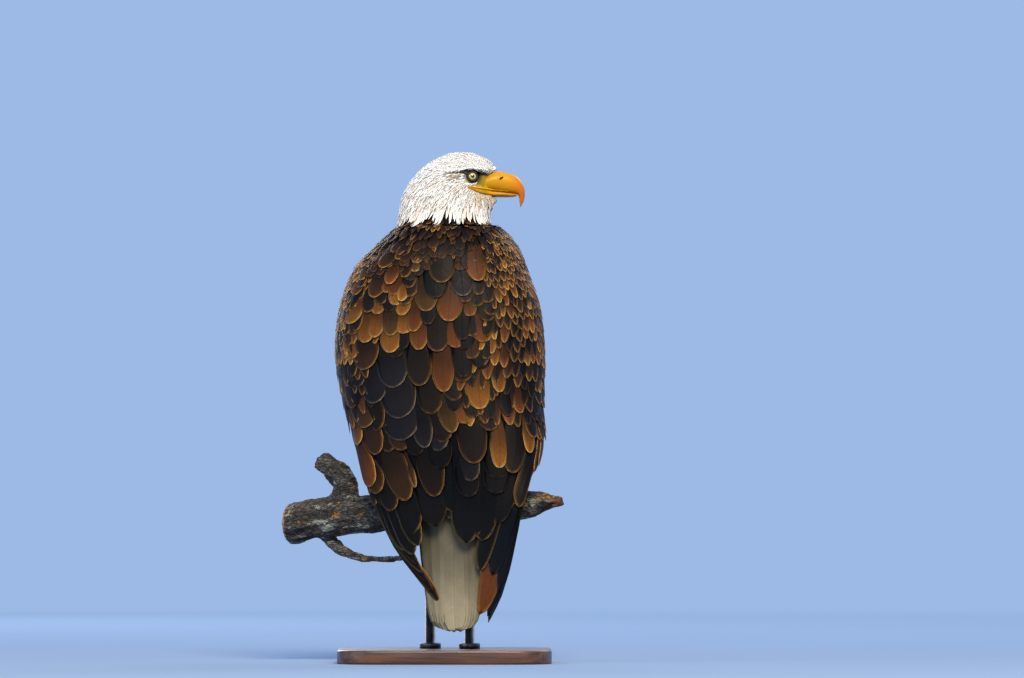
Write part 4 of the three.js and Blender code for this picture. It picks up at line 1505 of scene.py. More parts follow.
@dataclass
class Back:
    """Mantle, scapulars and tertials, with a close layer of feathers under them, painted black as painted shade.

    Attributes:
        seed: The source of chance.
    """

    seed: int = 5

    def tone(self, x: float, z: float, rng: np.random.Generator) -> Tone:
        """A fill feather's tone by its place as met from behind, in millimetres."""
        if z > 600:
            return pick(rng, ((T.SOOT, 4), (T.UMBER, 3), (T.BROWN, 1.4), (T.DARK, 1.6), (T.OLIVE, 0.7)))
        if z > 480:
            if x < -55:
                return pick(rng, ((T.RUFOUS, 1.7), (T.GOLD, 1.6), (T.BROWN, 2.4), (T.DARK, 3), (T.BLACK, 1)))
            return pick(rng, ((T.DARK, 4), (T.BLACK, 2), (T.BROWN, 2), (T.OLIVE, 1), (T.RUFOUS, 1.2)))
        if z > 330 and x > 20:
            return pick(rng, ((T.DARK, 3), (T.BLACK, 2.4), (T.BROWN, 2), (T.GOLD, 1.2)))
        return pick(rng, ((T.BLACK, 3), (T.SLATE, 1.4), (T.DARK, 2.4), (T.BROWN, 0.6)))

    def fill(self, rng: np.random.Generator) -> Coat:
        """Broad round feathers between the set ones, which keep their own visible tips free."""
        coat = Coat("back_fill", OUTLINE, Shape.ROUND, MEDIUM, by_tip=True, ragged=0.02)
        taken = np.array([(s.x, s.z, s.width, 0.9 + 0.1 * s.stretch) for s in (*SCAPULARS, *INNER_QUILLS)])
        widths = Track(((660, 18), (620, 23), (560, 31), (480, 38), (400, 42), (250, 44)))
        height, row = 652.0, 0
        while height > 236:
            width = float(widths.one(height))
            step = math.degrees(width * 0.66 / (float(OUTLINE.slices(height)[1]) * 0.85))
            edge = 50 - 16 * float(smooth(560, 660, height))
            for turn in np.arange(-edge + (row % 2) * step / 2, edge - 6, step):
                spot = OUTLINE.point(math.radians(turn + rng.normal(0, step * 0.14)), (height + rng.normal(0, 4)) * MM)
                x, z = spot[0] / MM, spot[2] / MM
                above = (z - taken[:, 1]) / taken[:, 2]
                if ((np.abs(x - taken[:, 0]) < 0.52 * taken[:, 2]) & (above > -0.12) & (above < 0.8 * taken[:, 3])).any():
                    continue
                size = width * rng.uniform(0.85, 1.15)
                coat.feathers.append(Feather(
                    place=spot, length=size * rng.uniform(1.7, 2.1) * MM, width=size * MM, tone=self.tone(x, z, rng),
                    lift=(-0.0042, 0.0008), heading=rng.normal(0, 0.1), bend=rng.normal(0, 0.1),
                    roll=rng.normal(0, 0.05), light=rng.uniform(0.72, 1.15),
                ))
            height -= width * 0.52
            row += 1
        return coat

    def under(self) -> Coat:
        """A plain close layer that shows only through chinks, painted black as painted shade there."""
        # Painted shade: this layer is black so that the chinks between the feathers above read dark.
        coat = Coat("back_under_shade", OUTLINE, Shape.OVAL, MEDIUM, by_tip=True)
        for row, height in enumerate(np.arange(640.0, 236.0, -26.0)):
            for turn in np.arange(-58 + (row % 2) * 5, 56, 10):
                coat.feathers.append(Feather(
                    place=OUTLINE.point(math.radians(turn), height * MM), length=0.07, width=0.036, tone=T.BLACK,
                    lift=(-0.0075, -0.0045),
                ))
        return coat

    def mantle(self, flesh: Flesh, rng: np.random.Generator) -> Coat:
        """Small soft feathers between the white hackles and the scapulars, all round."""
        coat = Coat("mantle", flesh, Shape.POINTED, SMALL)
        spots = flesh.scatter(
            rng, lambda p: 0.0072 + 0 * p[..., 0], lambda p: (p[..., 2] > 0.652) & (p[..., 2] < 0.726),
        )
        for spot in spots:
            tone = pick(rng, ((T.UMBER, 3), (T.SOOT, 4), (T.BROWN, 0.8), (T.DARK, 1), (T.OLIVE, 0.5)))
            size = rng.uniform(10, 15)
            coat.feathers.append(Feather(
                place=spot, length=size * rng.uniform(2.3, 3.1) * MM, width=size * MM, tone=tone,
                lift=(-0.0045, rng.uniform(-0.0005, 0.002)), heading=rng.normal(0, 0.26), bend=rng.normal(0, 0.3),
                roll=rng.normal(0, 0.05), light=rng.uniform(0.7, 1.1),
            ))
        return coat

    def build(self, flesh: Flesh, finish: bpy.types.Material, flight: bpy.types.Material) -> None:
        """Builds and dresses the back."""
        rng = np.random.default_rng(self.seed)
        dress(self.under().build(rng), finish)
        dress(self.fill(rng).build(rng), finish)
        dress(self.mantle(flesh, rng).build(rng), finish)
        scapulars = Coat("scapulars", OUTLINE, Shape.ROUND, FINE, by_tip=True, ragged=0.02)
        laid_from_behind(scapulars, SCAPULARS, (-0.0042, 0.0018), rng)
        dress(scapulars.build(rng), finish)
        inner = Coat("tertials", OUTLINE, Shape.BLADE, FINE, by_tip=True, ragged=0.015)
        laid_from_behind(inner, INNER_QUILLS, (-0.006, -0.0022), rng)
        dress(inner.build(rng), flight)


@dataclass
class FanCoat(Coat):
    """Tail feathers that spread evenly over the fan.

    Attributes:
        spread: Share across the fan at root and tip, and the heights of both in millimetres.
    """

    spread: list[tuple[float, float, float, float]] = field(default_factory=list)

    def shafts(self, along: Array) -> tuple[Array, Array]:
        """Runs every shaft from its root's share to its tip's."""
        rows = np.array(self.spread)[:, None]
        root, tip, high, low = (rows[..., i] for i in range(4))
        return self.ground.settle(self.ground.point(root + (tip - root) * along, (high + (low - high) * along) * MM))


@dataclass
class Tail:
    """Twelve broad white tail feathers, with white coverts over their roots before and behind.

    Attributes:
        count: Number of tail feathers.
        seed: The source of chance.
    """

    count: int = 12
    seed: int = 21

    def covert(self, coat: Coat, turn: float, height: float, ahead: bool, rng: np.random.Generator) -> None:
        """Adds one covert over the tail's root: white below the tail; above it, under the wings, dulled as painted
        shade.
        """
        size = rng.uniform(20, 27)
        coat.feathers.append(Feather(
            place=BELLY.point(math.radians(turn), (height + rng.normal(0, 4)) * MM),
            length=size * rng.uniform(2.4, 3.0) * MM, width=size * MM,
            # Above the tail the coverts' white is painted ivory at about a third of its brightness: painted shade under
            # the wings.
            tone=pick(rng, ((T.WHITE, 3), (T.CREAM, 1))) if ahead else T.IVORY_SHADED,
            lift=(-0.003, rng.uniform(0.0, 0.002)), heading=rng.normal(0, 0.08), roll=rng.normal(0, 0.03),
            light=rng.uniform(0.85, 1.0) * (1.0 if ahead else 0.35),
        ))

    def build(self, finish: bpy.types.Material, white: bpy.types.Material) -> None:
        """Builds and dresses the tail."""
        rng = np.random.default_rng(self.seed)
        fan = TailFan()
        coat = FanCoat("tail_feathers", fan, Shape.BLUNT, FINE, patch=0.02, ragged=0.012)
        middle = (self.count - 1) / 2
        for i in range(self.count):
            out, rank = (i - middle) / middle, abs(i - middle) - 0.5
            tip = 49 + 5 * abs(out) ** 3 + rng.uniform(0, 3)
            coat.spread.append((0.82 * out, (0.45 if out < 0 else 0.36) * out, 268, tip))
            # The tail's white is painted a dull ivory as painted shade; the outer feathers are painted darker still.
            coat.feathers.append(Feather(
                place=fan.point(0.64 * out, 0.268), length=(268 - tip) * MM, width=0.036, tone=T.IVORY_SHADED,
                lift=(-0.0005 * rank, 0.0012 - 0.0005 * rank),
                light=rng.uniform(0.85, 1.1) * (1 - 0.4 * rank / middle),
            ))
        dress(coat.build(rng), finish, ("tail",))
        coverts = Coat("tail_coverts", BELLY, Shape.OVAL, MEDIUM, by_tip=True)
        for row, height in enumerate(np.arange(168, 282, 10.0)):
            below = 112 + 44 * float(smooth(262, 225, height))
            for spot in np.arange(below - 360, 0 - below, 12) + 6 * (row % 2):
                self.covert(coverts, spot + rng.normal(0, 2), height, True, rng)
            if height > 222:
                for spot in np.arange(-54, 56, 18) + 9 * (row % 2):
                    self.covert(coverts, spot, height, False, rng)
        dress(coverts.build(rng), white)


# ---- stage, light and camera ----


@dataclass(frozen=True)
class Studio:
    """Pale floor and backdrop, soft light and the camera.

    Attributes:
        distance: From the camera to the model, in metres.
        aim: Where the camera points, x and z in metres.
        span: Width of the view at the model, in metres.
        below: How far the camera looks up, in degrees.
    """

    distance: float = 9.0
    aim: tuple[float, float] = (0.107, 0.517)
    span: float = 1.638
    below: float = 2.0
    sensor: float = 36.0
    sky: Colour = linear(156, 186, 229)

    def camera(self) -> None:
        """A long lens from straight behind the bird."""
        lens = bpy.data.cameras.new("camera")
        lens.sensor_width = self.sensor
        lens.lens = self.sensor * self.distance / self.span
        lens.clip_end = 100
        camera = bpy.data.objects.new("camera", lens)
        bpy.context.scene.collection.objects.link(camera)
        tilt = math.radians(self.below)
        x, z = self.aim
        camera.location = (x, -self.distance * math.cos(tilt), z - self.distance * math.sin(tilt))
        camera.rotation_euler = (math.pi / 2 + tilt, 0, 0)
        bpy.context.scene.camera = camera

    def lamp(self, name: str, place: tuple[float, float, float], size: float, power: float, colour: Colour) -> None:
        """A soft square lamp that faces the bird."""
        light = bpy.data.lights.new(name, "AREA")
        light.shape, light.size, light.energy, light.color = "SQUARE", size, power, colour
        lamp = bpy.data.objects.new(name, light)
        bpy.context.scene.collection.objects.link(lamp)
        lamp.location = place
        lamp.rotation_euler = (Vector((0, 0, 0.5)) - Vector(place)).to_track_quat("-Z", "Y").to_euler()

    def stage(self) -> None:
        """A wide flat floor."""
        bm = bmesh.new()
        bmesh.ops.create_circle(bm, segments=128, radius=24, cap_ends=True)
        mesh = bpy.data.meshes.new("stage")
        bm.to_mesh(mesh)
        bm.free()
        floor = linked("stage", mesh)
        mesh.materials.append(StageFinish(self.sky).build())

    def build(self) -> None:
        """Sets up floor, light and camera."""
        self.camera()
        self.stage()
        self.lamp("key", (0.9, -5.5, 5.0), 3.0, 820, (1.0, 0.88, 0.66))
        self.lamp("fill", (-4.2, -3.0, 1.8), 3.0, 70, (1.0, 0.95, 0.88))
        self.lamp("rim", (2.6, 3.6, 3.4), 2.4, 90, (0.95, 0.97, 1.0))
        self.lamp("front", (-1.8, 4.6, 2.2), 3.0, 130, (1.0, 0.98, 0.95))
        world = bpy.data.worlds.new("world")
        world.use_nodes = True
        world.node_tree.nodes["Background"].inputs[0].default_value = (*self.sky, 1)
        world.node_tree.nodes["Background"].inputs[1].default_value = 1.0
        bpy.context.scene.world = world
        bpy.context.scene.view_settings.view_transform = "Standard"


# ---- head ----

EYE_RADIUS = 11 * MM
@dataclass(frozen=True)
class EyeSite:
    """Where one eye sits.

    Attributes:
        side: 1 for the bird's left, -1 for its right.
        opening: Half angle of the lids' opening, in degrees.
        droop: How much lower the upper lid hangs, in degrees.
        rise: How much higher the lower lid stands.
        lid: Outer radius of the lids, in metres.
    """

    side: int
    opening: float = 46.0
    droop: float = 15.0
    rise: float = 9.0
    lid: float = 0.0118

    @property
    def name(self) -> str:
        """The side's name."""
        return "left" if self.side > 0 else "right"

    @property
    def centre(self) -> Array:
        """Middle of the eyeball."""
        return HEAD + np.array((42.5, 25.5 * self.side, 777.6)) * MM

    @property
    def gaze(self) -> Array:
        """The line of sight."""
        return unit(np.array((0.14, 0.99 * self.side, -0.02)))

    def polar(self, points: Array) -> tuple[Array, Array, Array]:
        """Distance from the eye's middle, angle from the line of sight in degrees, and how far upwards."""
        away = points - self.centre
        distance = np.linalg.norm(away, axis=-1)
        angle = np.degrees(np.arccos(np.clip((away @ self.gaze) / np.maximum(distance, 1e-9), -1, 1)))
        aside = away - (away @ self.gaze)[..., None] * self.gaze
        return distance, angle, unit(aside)[..., 2]

    def slit(self, upward: Array) -> Array:
        """Half angle of the opening, by how far upwards it is met."""
        return self.opening - self.droop * smooth(0.1, 0.9, upward) - self.rise * smooth(-0.2, -0.95, upward)


EYES = (EyeSite(-1), EyeSite(1))


def clumped(points: Array) -> Array:
    """How far the white hackles are drawn out into points, from -1 to 1, by place round the neck."""
    x, y, _ = own_head(points)
    turn = np.arctan2(y, x)
    return 0.6 * np.sin(11 * turn + 1.0) + 0.4 * np.sin(23 * turn + 2.0)


FACE_LOW = Track(((30, 760), (36, 758.8), (46, 754.5), (56, 749.6), (66, 747.6), (72, 746.6)))


def bare_face(points: Array) -> Array:
    """True on the lids, the lores and the bill, where no feather grows."""
    x, y, z = own_head(points)
    eye = np.hypot((x - 43) / np.where(x > 43, 1.1, 0.98), z - 777) < 11.3
    lores = (x > np.clip(50 + 0.55 * (z - 766), 44, 52)) & (z > FACE_LOW.one(x))
    gape = (x > 35) & (z > FACE_LOW.one(x)) & (z < 761.5 + 0.2 * (x - 35))
    under_brow = (x > 8) & (z > BROW.one(x) - 0.9 - 1.7 * smooth(8, 34, x) - 0.04 * (x - 8))
    below = z < BROW.one(x) - 0.4
    front = (x > 71 + 8 * smooth(780, 785, z)) & (z > 747.5) & (z < 796)
    return ((eye | lores | gape | under_brow) & below & (np.abs(y) > 12)) | front


def head_lie(points: Array, normals: Array) -> Array:
    """The way the head's feathers lie: back from the bill, then down the neck."""
    x, _, z = own_head(points)
    back = 0.22 + 0.78 * smooth(700, 792, z)
    fall = 1 - 0.92 * smooth(738, 800, z) * smooth(-70, 20, x)
    throat = smooth(38, 62, x) * smooth(762, 745, z)
    along_brow = np.exp(-(((z - BROW.one(x) - 2.5) / 4.5) ** 2)) * smooth(-14, 6, x)
    along_gape = np.exp(-(((z - 762) / 5) ** 2)) * smooth(22, 34, x) * (x < 66)
    fall = fall * (1 - 0.9 * along_gape)
    fall = fall + (0.13 - 0.28 * smooth(26, 46, x) - fall) * along_brow
    pull = np.stack((-back * (1 - 0.75 * throat), 0 * x, -fall), -1)
    return unit(pull - normals * (pull * normals).sum(-1, keepdims=True))


@dataclass
class Skin:
    """The one skin of head, neck, body, thighs and feet, inside the coat by its depth.

    Attributes:
        body_depth: Depth of the coat over the body, in metres.
        head_depth: Depth over the head.
    """

    body_depth: float = 0.0065
    head_depth: float = 0.0024

    def sink(self, flesh: Flesh) -> Array:
        """Vertex places sunk by the coat's depth, but for face and feet."""
        z = flesh.points[:, 2]
        depth = self.body_depth + (self.head_depth - self.body_depth) * smooth(0.70, 0.745, z)
        depth = np.where(bare_face(flesh.points) & (z > 0.74), 0.0006, depth)
        depth = np.where(self.scaled(flesh.points), 0, depth * np.maximum(smooth(0.312, 0.33, z), smooth(0.318, 0.31, z)))
        return flesh.points - flesh.normals * depth[:, None]

    @staticmethod
    def scaled(points: Array) -> Array:
        """True on the bare scaly feet."""
        x, y, z = np.moveaxis(to_body(points) / MM, -1, 0)
        beside = np.abs(np.abs(x) - 42)
        feet = (z < 318) & (y > -18 - 0.4 * (300 - z)) & (y > -60)
        return feet & ((beside < 20) | (z < 296)) & ((y > -16) | (beside < 11))

    def refine(self, mesh: bpy.types.Mesh) -> None:
        """Splits the faces round the eyes and on the lores."""
        split_near(mesh, [site.centre + np.array((3, -2 * site.side, -2)) * MM for site in EYES], 0.021, 2)

    def lids(self, points: Array) -> Array:
        """Raises a lid round each eye and sinks what the eye fills."""
        for site in EYES:
            distance, angle, upward = site.polar(points)
            slit = site.slit(upward)
            near = (distance < 0.021) & (angle < 100)
            rim = site.lid + (distance - site.lid) * smooth(14, 42, angle - slit)
            target = np.where(angle < slit, 0.0088, rim)
            moved = site.centre + (points - site.centre) * (target / np.maximum(distance, 1e-9))[:, None]
            points = np.where(near[:, None], moved, points)
        return points

    def tint(self, points: Array) -> Array:
        """The skin's markings, which are the coat's, with a painted shadow under each brow."""
        x, _, z = own_head(points)
        brown, white = np.array(linear(62, 42, 30)), np.array(linear(226, 218, 210))
        colour = brown + (white - brown) * smooth(700, 716, z)[:, None]
        own = to_body(points) / MM
        vent = smooth(318, 300, z) * (own[:, 1] < -20)
        colour = colour + (white - colour) * vent[:, None]
        face = bare_face(points) & (z > 745) & ((x < 71) | (z < 784))
        olive, yellow, dark = (np.array(linear(*c)) for c in ((96, 88, 28), (196, 146, 8), (14, 11, 8)))
        lores = olive + (yellow - olive) * np.maximum(smooth(52, 69, x), 0.9 * smooth(767, 760, z))[:, None]
        almond = smooth(14.5, 9.5, np.hypot((x - 43) / 1.25, z - 777))
        lores = lores + (np.array(linear(62, 60, 30)) - lores) * almond[:, None]
        for site in EYES:
            distance, angle, upward = site.polar(points)
            lores = lores + (np.array(linear(44, 40, 24)) - lores) * (smooth(14, 4, angle - site.slit(upward)) * (distance < 0.02))[:, None]
        # Painted shadow of the brow: the bare skin under it is darkened towards near-black, thickest just ahead of the
        # eye.
        depth = 2.6 + 4.2 * np.exp(-(((x - 53) / 13) ** 2))
        brow_shadow = smooth(-1.35, -0.75, (z - BROW.one(x)) / depth) * smooth(84, 76, x) * (0.45 + 0.55 * smooth(4, 34, x))
        lores = lores + (dark - lores) * brow_shadow[:, None]
        colour = np.where(face[:, None], lores, colour)
        return np.where(self.scaled(points)[:, None], np.array(linear(216, 162, 32)), colour)

    def build(self, flesh: Flesh, finish: bpy.types.Material) -> None:
        """Builds and dresses the skin."""
        mesh = flesh.piece.data
        write_points(mesh, self.sink(flesh))
        self.refine(mesh)
        points = read_points(mesh)
        near_eye = np.minimum(*[site.polar(points)[0] for site in EYES]) < 0.024
        points = relaxed(mesh, points, np.where(near_eye, 3, 0))
        points = self.lids(points)
        write_points(mesh, points)
        mesh.polygons.foreach_set("use_smooth", [True] * len(mesh.polygons))
        give_colour(mesh, "tint", self.tint(points))
        dress(flesh.piece, finish, Flesh.NODES)


@dataclass(frozen=True)
class EyeBall:
    """One eye: a ball with a clear bulge, and the bare margin of the lids round it."""

    site: EyeSite

    def build(self, finish: bpy.types.Material, skin: bpy.types.Material) -> None:
        """Builds and dresses the eye and the margin of its lids."""
        site = self.site
        bm = bmesh.new()
        turn = Vector(site.gaze).to_track_quat("Z", "Y").to_matrix().to_4x4()
        place = Matrix.Translation(Vector(site.centre)) @ turn
        bmesh.ops.create_uvsphere(bm, u_segments=48, v_segments=40, radius=EYE_RADIUS, matrix=place)
        ball = piece_from(f"eye_ball_{site.name}", bm)
        points = read_points(ball.data)
        _, angle, _ = site.polar(points)
        bulge = 1 + 0.06 * (1 - smooth(0, 50, angle)) - 0.04 * smooth(50, 60, angle)
        write_points(ball.data, site.centre + (points - site.centre) * bulge[:, None])
        across = np.cross(site.gaze, (0, 0, 1.0))
        aside = unit((points - site.centre) - ((points - site.centre) @ site.gaze)[:, None] * site.gaze)
        give_vector(ball.data, "gaze", np.stack((angle, aside @ across, aside[:, 2]), 1))
        dress(ball, finish, (f"eye_{site.name}",))
        rim = bmesh.new()
        turns = np.linspace(0, 2 * math.pi, 41)
        slit = np.radians(site.slit(np.sin(turns)) + 0.5)
        ring = np.cos(turns)[:, None] * across + np.sin(turns)[:, None] * np.array((0, 0, 1.0))
        path = site.centre + (np.cos(slit)[:, None] * site.gaze + np.sin(slit)[:, None] * ring) * 0.01165
        tube(rim, path, np.full(41, 0.00062), 8)
        margin = piece_from(f"lid_margin_{site.name}", rim)
        give_colour(margin.data, "tint", np.tile(linear(58, 54, 34), (len(margin.data.vertices), 1)))
        dress(margin, skin)


@dataclass(frozen=True)
class Bill:
    """The hooked bill with its nostrils, its swollen base and the fleshy gape.

    Attributes:
        upper: Share of the way, top x and z, edge x and z, half width, in the head's frame.
        lower: The same for the lower half.
        nostril: Middle of the nostril, ahead and up, in millimetres.
    """

    upper: Track = Track((
        (0.0, 58, 779, 57, 756.5, 19.6), (0.125, 81, 787.4, 72, 755.5, 19.4), (0.25, 96, 785.9, 85, 754.5, 17.2),
        (0.375, 109, 782.4, 97, 753.3, 14.8), (0.5, 119, 775.2, 107, 752.3, 12.6), (0.625, 125.4, 764.4, 113.6, 751, 10),
        (0.75, 127.6, 752, 117.4, 747.6, 7.2), (0.875, 125.9, 740, 119.0, 738.2, 4.2), (1.0, 121.0, 730.2, 120.1, 729.9, 0.7),
    ))
    lower: Track = Track((
        (0.0, 52, 757.5, 54, 748, 17.5), (0.2, 70, 757, 70, 746.2, 16.8), (0.4, 84, 756, 84, 745.8, 15),
        (0.6, 97, 754.7, 97, 745.8, 12.6), (0.8, 107, 753.4, 107, 746, 9.6), (1.0, 114.5, 751.6, 114.5, 747.4, 6.0),
    ))
    nostril: tuple[float, float] = (89.8, 775.4)

    def half(self, name: str, rows: Track, stations: int, sides: int, edge_power: float) -> bpy.types.Object:
        """One half as a loft of rounded sections."""
        bm = bmesh.new()
        rings = []
        for t in np.linspace(0, 1, stations):
            top_x, top_z, low_x, low_z, width = rows(t)
            swell = 1 + 0.035 * float(1 - smooth(0.2, 0.25, t))
            turns = np.linspace(0, 2 * math.pi, sides, endpoint=False)
            up, aside = np.cos(turns), np.sin(turns)
            aside = np.sign(aside) * np.abs(aside) ** np.where(up > 0, 0.95, edge_power) * width * swell
            mid = np.array(((top_x + low_x) / 2, 0, (top_z + low_z) / 2))
            arm = np.array(((top_x - low_x) / 2, 0, (top_z - low_z) / 2))
            ring = mid + up[:, None] * arm + aside[:, None] * np.array((0, 1.0, 0))
            rings.append(HEAD + ring * MM)
        loft(bm, rings)
        return piece_from(name, bm)

    def pierce(self, piece: bpy.types.Object) -> None:
        """Cuts both nostrils."""
        bm = bmesh.new()
        for side in (-1, 1):
            x, z = self.nostril
            place = Matrix.Translation(Vector(HEAD + np.array((x, 16.2 * side, z)) * MM))
            lean = Matrix.Rotation(math.radians(-36), 4, "Y")
            size = Matrix.Diagonal((4.3 * MM, 4.6 * MM, 1.5 * MM, 1))
            bmesh.ops.create_uvsphere(bm, u_segments=20, v_segments=14, radius=1, matrix=place @ lean @ size)
        cutter = piece_from("nostril_cutter", bm)
        cut = piece.modifiers.new("nostrils", "BOOLEAN")
        cut.operation, cut.object, cut.solver = "DIFFERENCE", cutter, "EXACT"
        graph = bpy.context.evaluated_depsgraph_get()
        made = bpy.data.meshes.new_from_object(piece.evaluated_get(graph))
        piece.modifiers.clear()
        piece.data = made
        bpy.data.objects.remove(cutter)

    def paint(self, piece: bpy.types.Object) -> None:
        """Olive at the base, yellow ahead, with painted shade in the nostrils and along the mouth's line on the jaw."""
        points = read_points(piece.data)
        x, y, z = own_head(points)
        yellow, olive = np.array(linear(186, 132, 3)), np.array(linear(172, 134, 6))
        colour = olive + (yellow - olive) * smooth(70, 84, x)[:, None]
        jaw = smooth(751, 748, z) * smooth(108, 100, x)
        colour = colour + (np.array(linear(164, 124, 18)) - colour) * jaw[:, None]
        # Painted shade along the mouth's line, where the upper bill overhangs the jaw.
        mouth = z - np.interp(x, (60, 72, 85, 97, 107, 114), (755.6, 754.6, 753.6, 752.3, 751.3, 750.2))
        if piece.name == "bill_jaw":
            colour = colour + (np.array(linear(60, 38, 8)) - colour) * smooth(-0.8, 0.2, mouth)[:, None]
        # Painted shade inside the nostrils.
        hole_x, hole_z = self.nostril
        deep = (np.hypot(x - hole_x, z - hole_z) < 4.2) & (np.abs(y) < 15.2)
        if len(points) > 2000:
            colour = np.where(deep[:, None], np.array(linear(26, 14, 6)), colour)
        give_colour(piece.data, "tint", colour)

    def lip_tint(self, piece: bpy.types.Object) -> Array:
        """Bright yellow above the mouth's line, olive below it."""
        x, _, z = own_head(read_points(piece.data))
        upper, lower = np.array(linear(206, 164, 12)), np.array(linear(152, 124, 20))
        return lower + (upper - lower) * smooth(-1, 1, z - np.interp(x, (35, 54, 76), (759.7, 756.2, 754.4)))[:, None]

    def lip(self, flesh: Flesh, halves: Sequence[bpy.types.Object], place: Array, side: int) -> float:
        """How far aside the lip lies: on the flesh, or on the bill where that stands out further."""
        reach = 0.0
        hit = flesh.tree.ray_cast(Vector(place), Vector((0, -side, 0)))[0]
        if hit is not None:
            reach = abs(hit[1] - HEAD[1])
        for half in halves:
            struck, where, _, _ = half.ray_cast(Vector(place), Vector((0, -side, 0)))
            if struck:
                reach = max(reach, abs(where[1] - HEAD[1]))
        return reach

    def gape(self, flesh: Flesh, halves: Sequence[bpy.types.Object], side: int) -> bpy.types.Object:
        """The fleshy yellow corner of the mouth, drawn back below the eye and out along both edges of the bill."""
        bm = bmesh.new()
        for rows in (
            ((37, 760.2, 0.3), (45, 760.0, 1.3), (54, 759.2, 2.1), (64, 758.3, 2.1), (76, 757.3, 1.5), (90, 756.0, 0.9),
             (102, 754.8, 0.4)),
            ((37, 759.3, 0.3), (45, 756.9, 1.3), (54, 753.2, 2.3), (64, 751.0, 2.5), (76, 750.0, 1.7), (88, 749.7, 0.9),
             (99, 749.6, 0.4)),
        ):
            line = Track(tuple((i, *row) for i, row in enumerate(rows)))(np.linspace(0, 6, 43))
            near = HEAD + np.stack((line[:, 0], 40.0 * side + 0 * line[:, 0], line[:, 1]), 1) * MM
            out = np.array([self.lip(flesh, halves, place, side) for place in near])
            surface = out.copy()
            for _ in range(4):
                out[1:-1] = (out[:-2] + 2 * out[1:-1] + out[2:]) / 4
            out = np.maximum(out, surface)
            path = near.copy()
            path[:, 1] = HEAD[1] + side * (out - line[:, 2] * MM * 0.35)
            tube(bm, path, line[:, 2] * MM, 12, 0.8)
        return piece_from(f"gape_{'left' if side > 0 else 'right'}", bm)

    def build(self, flesh: Flesh, finish: bpy.types.Material) -> None:
        """Builds and dresses the bill."""
        upper = self.half("bill_top", self.upper, 44, 36, 0.62)
        self.pierce(upper)
        lower = self.half("bill_jaw", self.lower, 24, 28, 0.8)
        for piece, node in ((upper, "bill_upper"), (lower, "bill_lower")):
            piece.data.polygons.foreach_set("use_smooth", [True] * len(piece.data.polygons))
            self.paint(piece)
            dress(piece, finish, (node,))
        for side in (-1, 1):
            gape = self.gape(flesh, (upper, lower), side)
            give_colour(gape.data, "tint", self.lip_tint(gape))
            dress(gape, finish)


@dataclass
class HeadPlumage:
    """White feathers: tiny on the face, longer backwards, and long pointed hackles on the neck.

    Attributes:
        seed: The source of chance.
    """

    seed: int = 31

    def length(self, points: Array) -> Array:
        """Length of a feather by its place, in millimetres."""
        x, y, z = own_head(points)
        away = np.sqrt((x - 60) ** 2 + (z - 770) ** 2 + 0.2 * y**2)
        return 4.0 + 0.14 * np.maximum(away - 8, 0)

    def tone(self, spot: Array, rng: np.random.Generator) -> Tone:
        """Painted shade behind the eye, under the brow and over the ear, more cream lower on the head as painted warm
        shade, creamy on the throat, else white.
        """
        x, y, z = own_head(spot)
        behind = math.hypot((x - 20) / 16, (z - 778 - 0.12 * (x - 20)) / 4.5)
        ear = math.hypot((x + 14) / 16, (z - 770 - 0.6 * (x + 14)) / 6)
        # Painted shadow of the brow: feathers along its lower edge take the dark bristle tone ahead and the grey shade
        # tone behind.
        if abs(z - BROW.one(x) + 0.9) < 2 and abs(y) > 12 and 6 < x < 76:
            return T.BRISTLE_SHADOW if x > 26 else T.ASH_SHADE
        # Painted shade: grey feathers behind the eye.
        if rng.random() < 1.25 - behind:
            return T.ASH_SHADE
        if rng.random() < 0.8 * float(smooth(40, 58, x) * smooth(758, 744, z)):
            return T.BUFF
        # The cream that grows lower on the head is painted warm shade.
        creamy = 0.08 + 0.5 * float(smooth(34, 56, x) * smooth(760, 742, z)) + 0.35 * float(smooth(780, 750, z))
        return T.CREAM if rng.random() < max(1.2 - ear, creamy) else T.WHITE

    def build(self, flesh: Flesh, finish: bpy.types.Material) -> None:
        """Builds and dresses head and neck."""
        rng = np.random.default_rng(self.seed)
        coat = Coat("head_feathers", flesh, Shape.HACKLE, TINY, lie=head_lie, ragged=0.05)
        spots = flesh.scatter(
            rng, lambda p: self.length(p) * 0.197 * MM, lambda p: (p[..., 2] > 0.733) & ~bare_face(p),
        )
        for spot, length in zip(spots, self.length(spots)):
            size = length * rng.uniform(0.85, 1.25)
            coat.feathers.append(Feather(
                place=spot, length=size * MM, width=size * 0.4 * MM, tone=self.tone(spot, rng),
                lift=(-0.0022, rng.uniform(-0.0006, 0.0002)), heading=rng.normal(0, 0.10), bend=rng.normal(0, 0.15),
                # Feathers low on the head are painted up to 12% darker, as painted shade.
                roll=rng.normal(0, 0.06), light=rng.uniform(0.84, 1.0) * (1 - 0.12 * float(smooth(0.79, 0.755, spot[2]))),
            ))
        dress(coat.build(rng), finish)
        hackles = Coat("hackles", flesh, Shape.HACKLE, SMALL, lie=head_lie, ragged=0.05)
        spots = flesh.scatter(
            rng, lambda p: 0.0046 + 0 * p[..., 0], lambda p: (p[..., 2] > 0.7205 - 0.005 * clumped(p)) & (p[..., 2] < 0.768) & ~bare_face(p),
        )
        for spot in spots:
            x, y, z = own_head(spot)
            size = (19 + 10 * float(smooth(768, 735, z))) * (rng.uniform(0.82, 1.1) + 0.22 * float(clumped(spot)))
            hackles.feathers.append(Feather(
                place=spot, length=size * MM, width=size * rng.uniform(0.2, 0.27) * MM,
                tone=T.WHITE if rng.random() < 0.7 else T.CREAM,
                lift=(-0.003, rng.uniform(-0.0004, 0.0016)), heading=rng.normal(0, 0.09), bend=rng.normal(0, 0.12),
                roll=rng.normal(0, 0.08), light=rng.uniform(0.8, 0.95),
            ))
        dress(hackles.build(rng), finish)


# ---- breast, belly and thighs ----


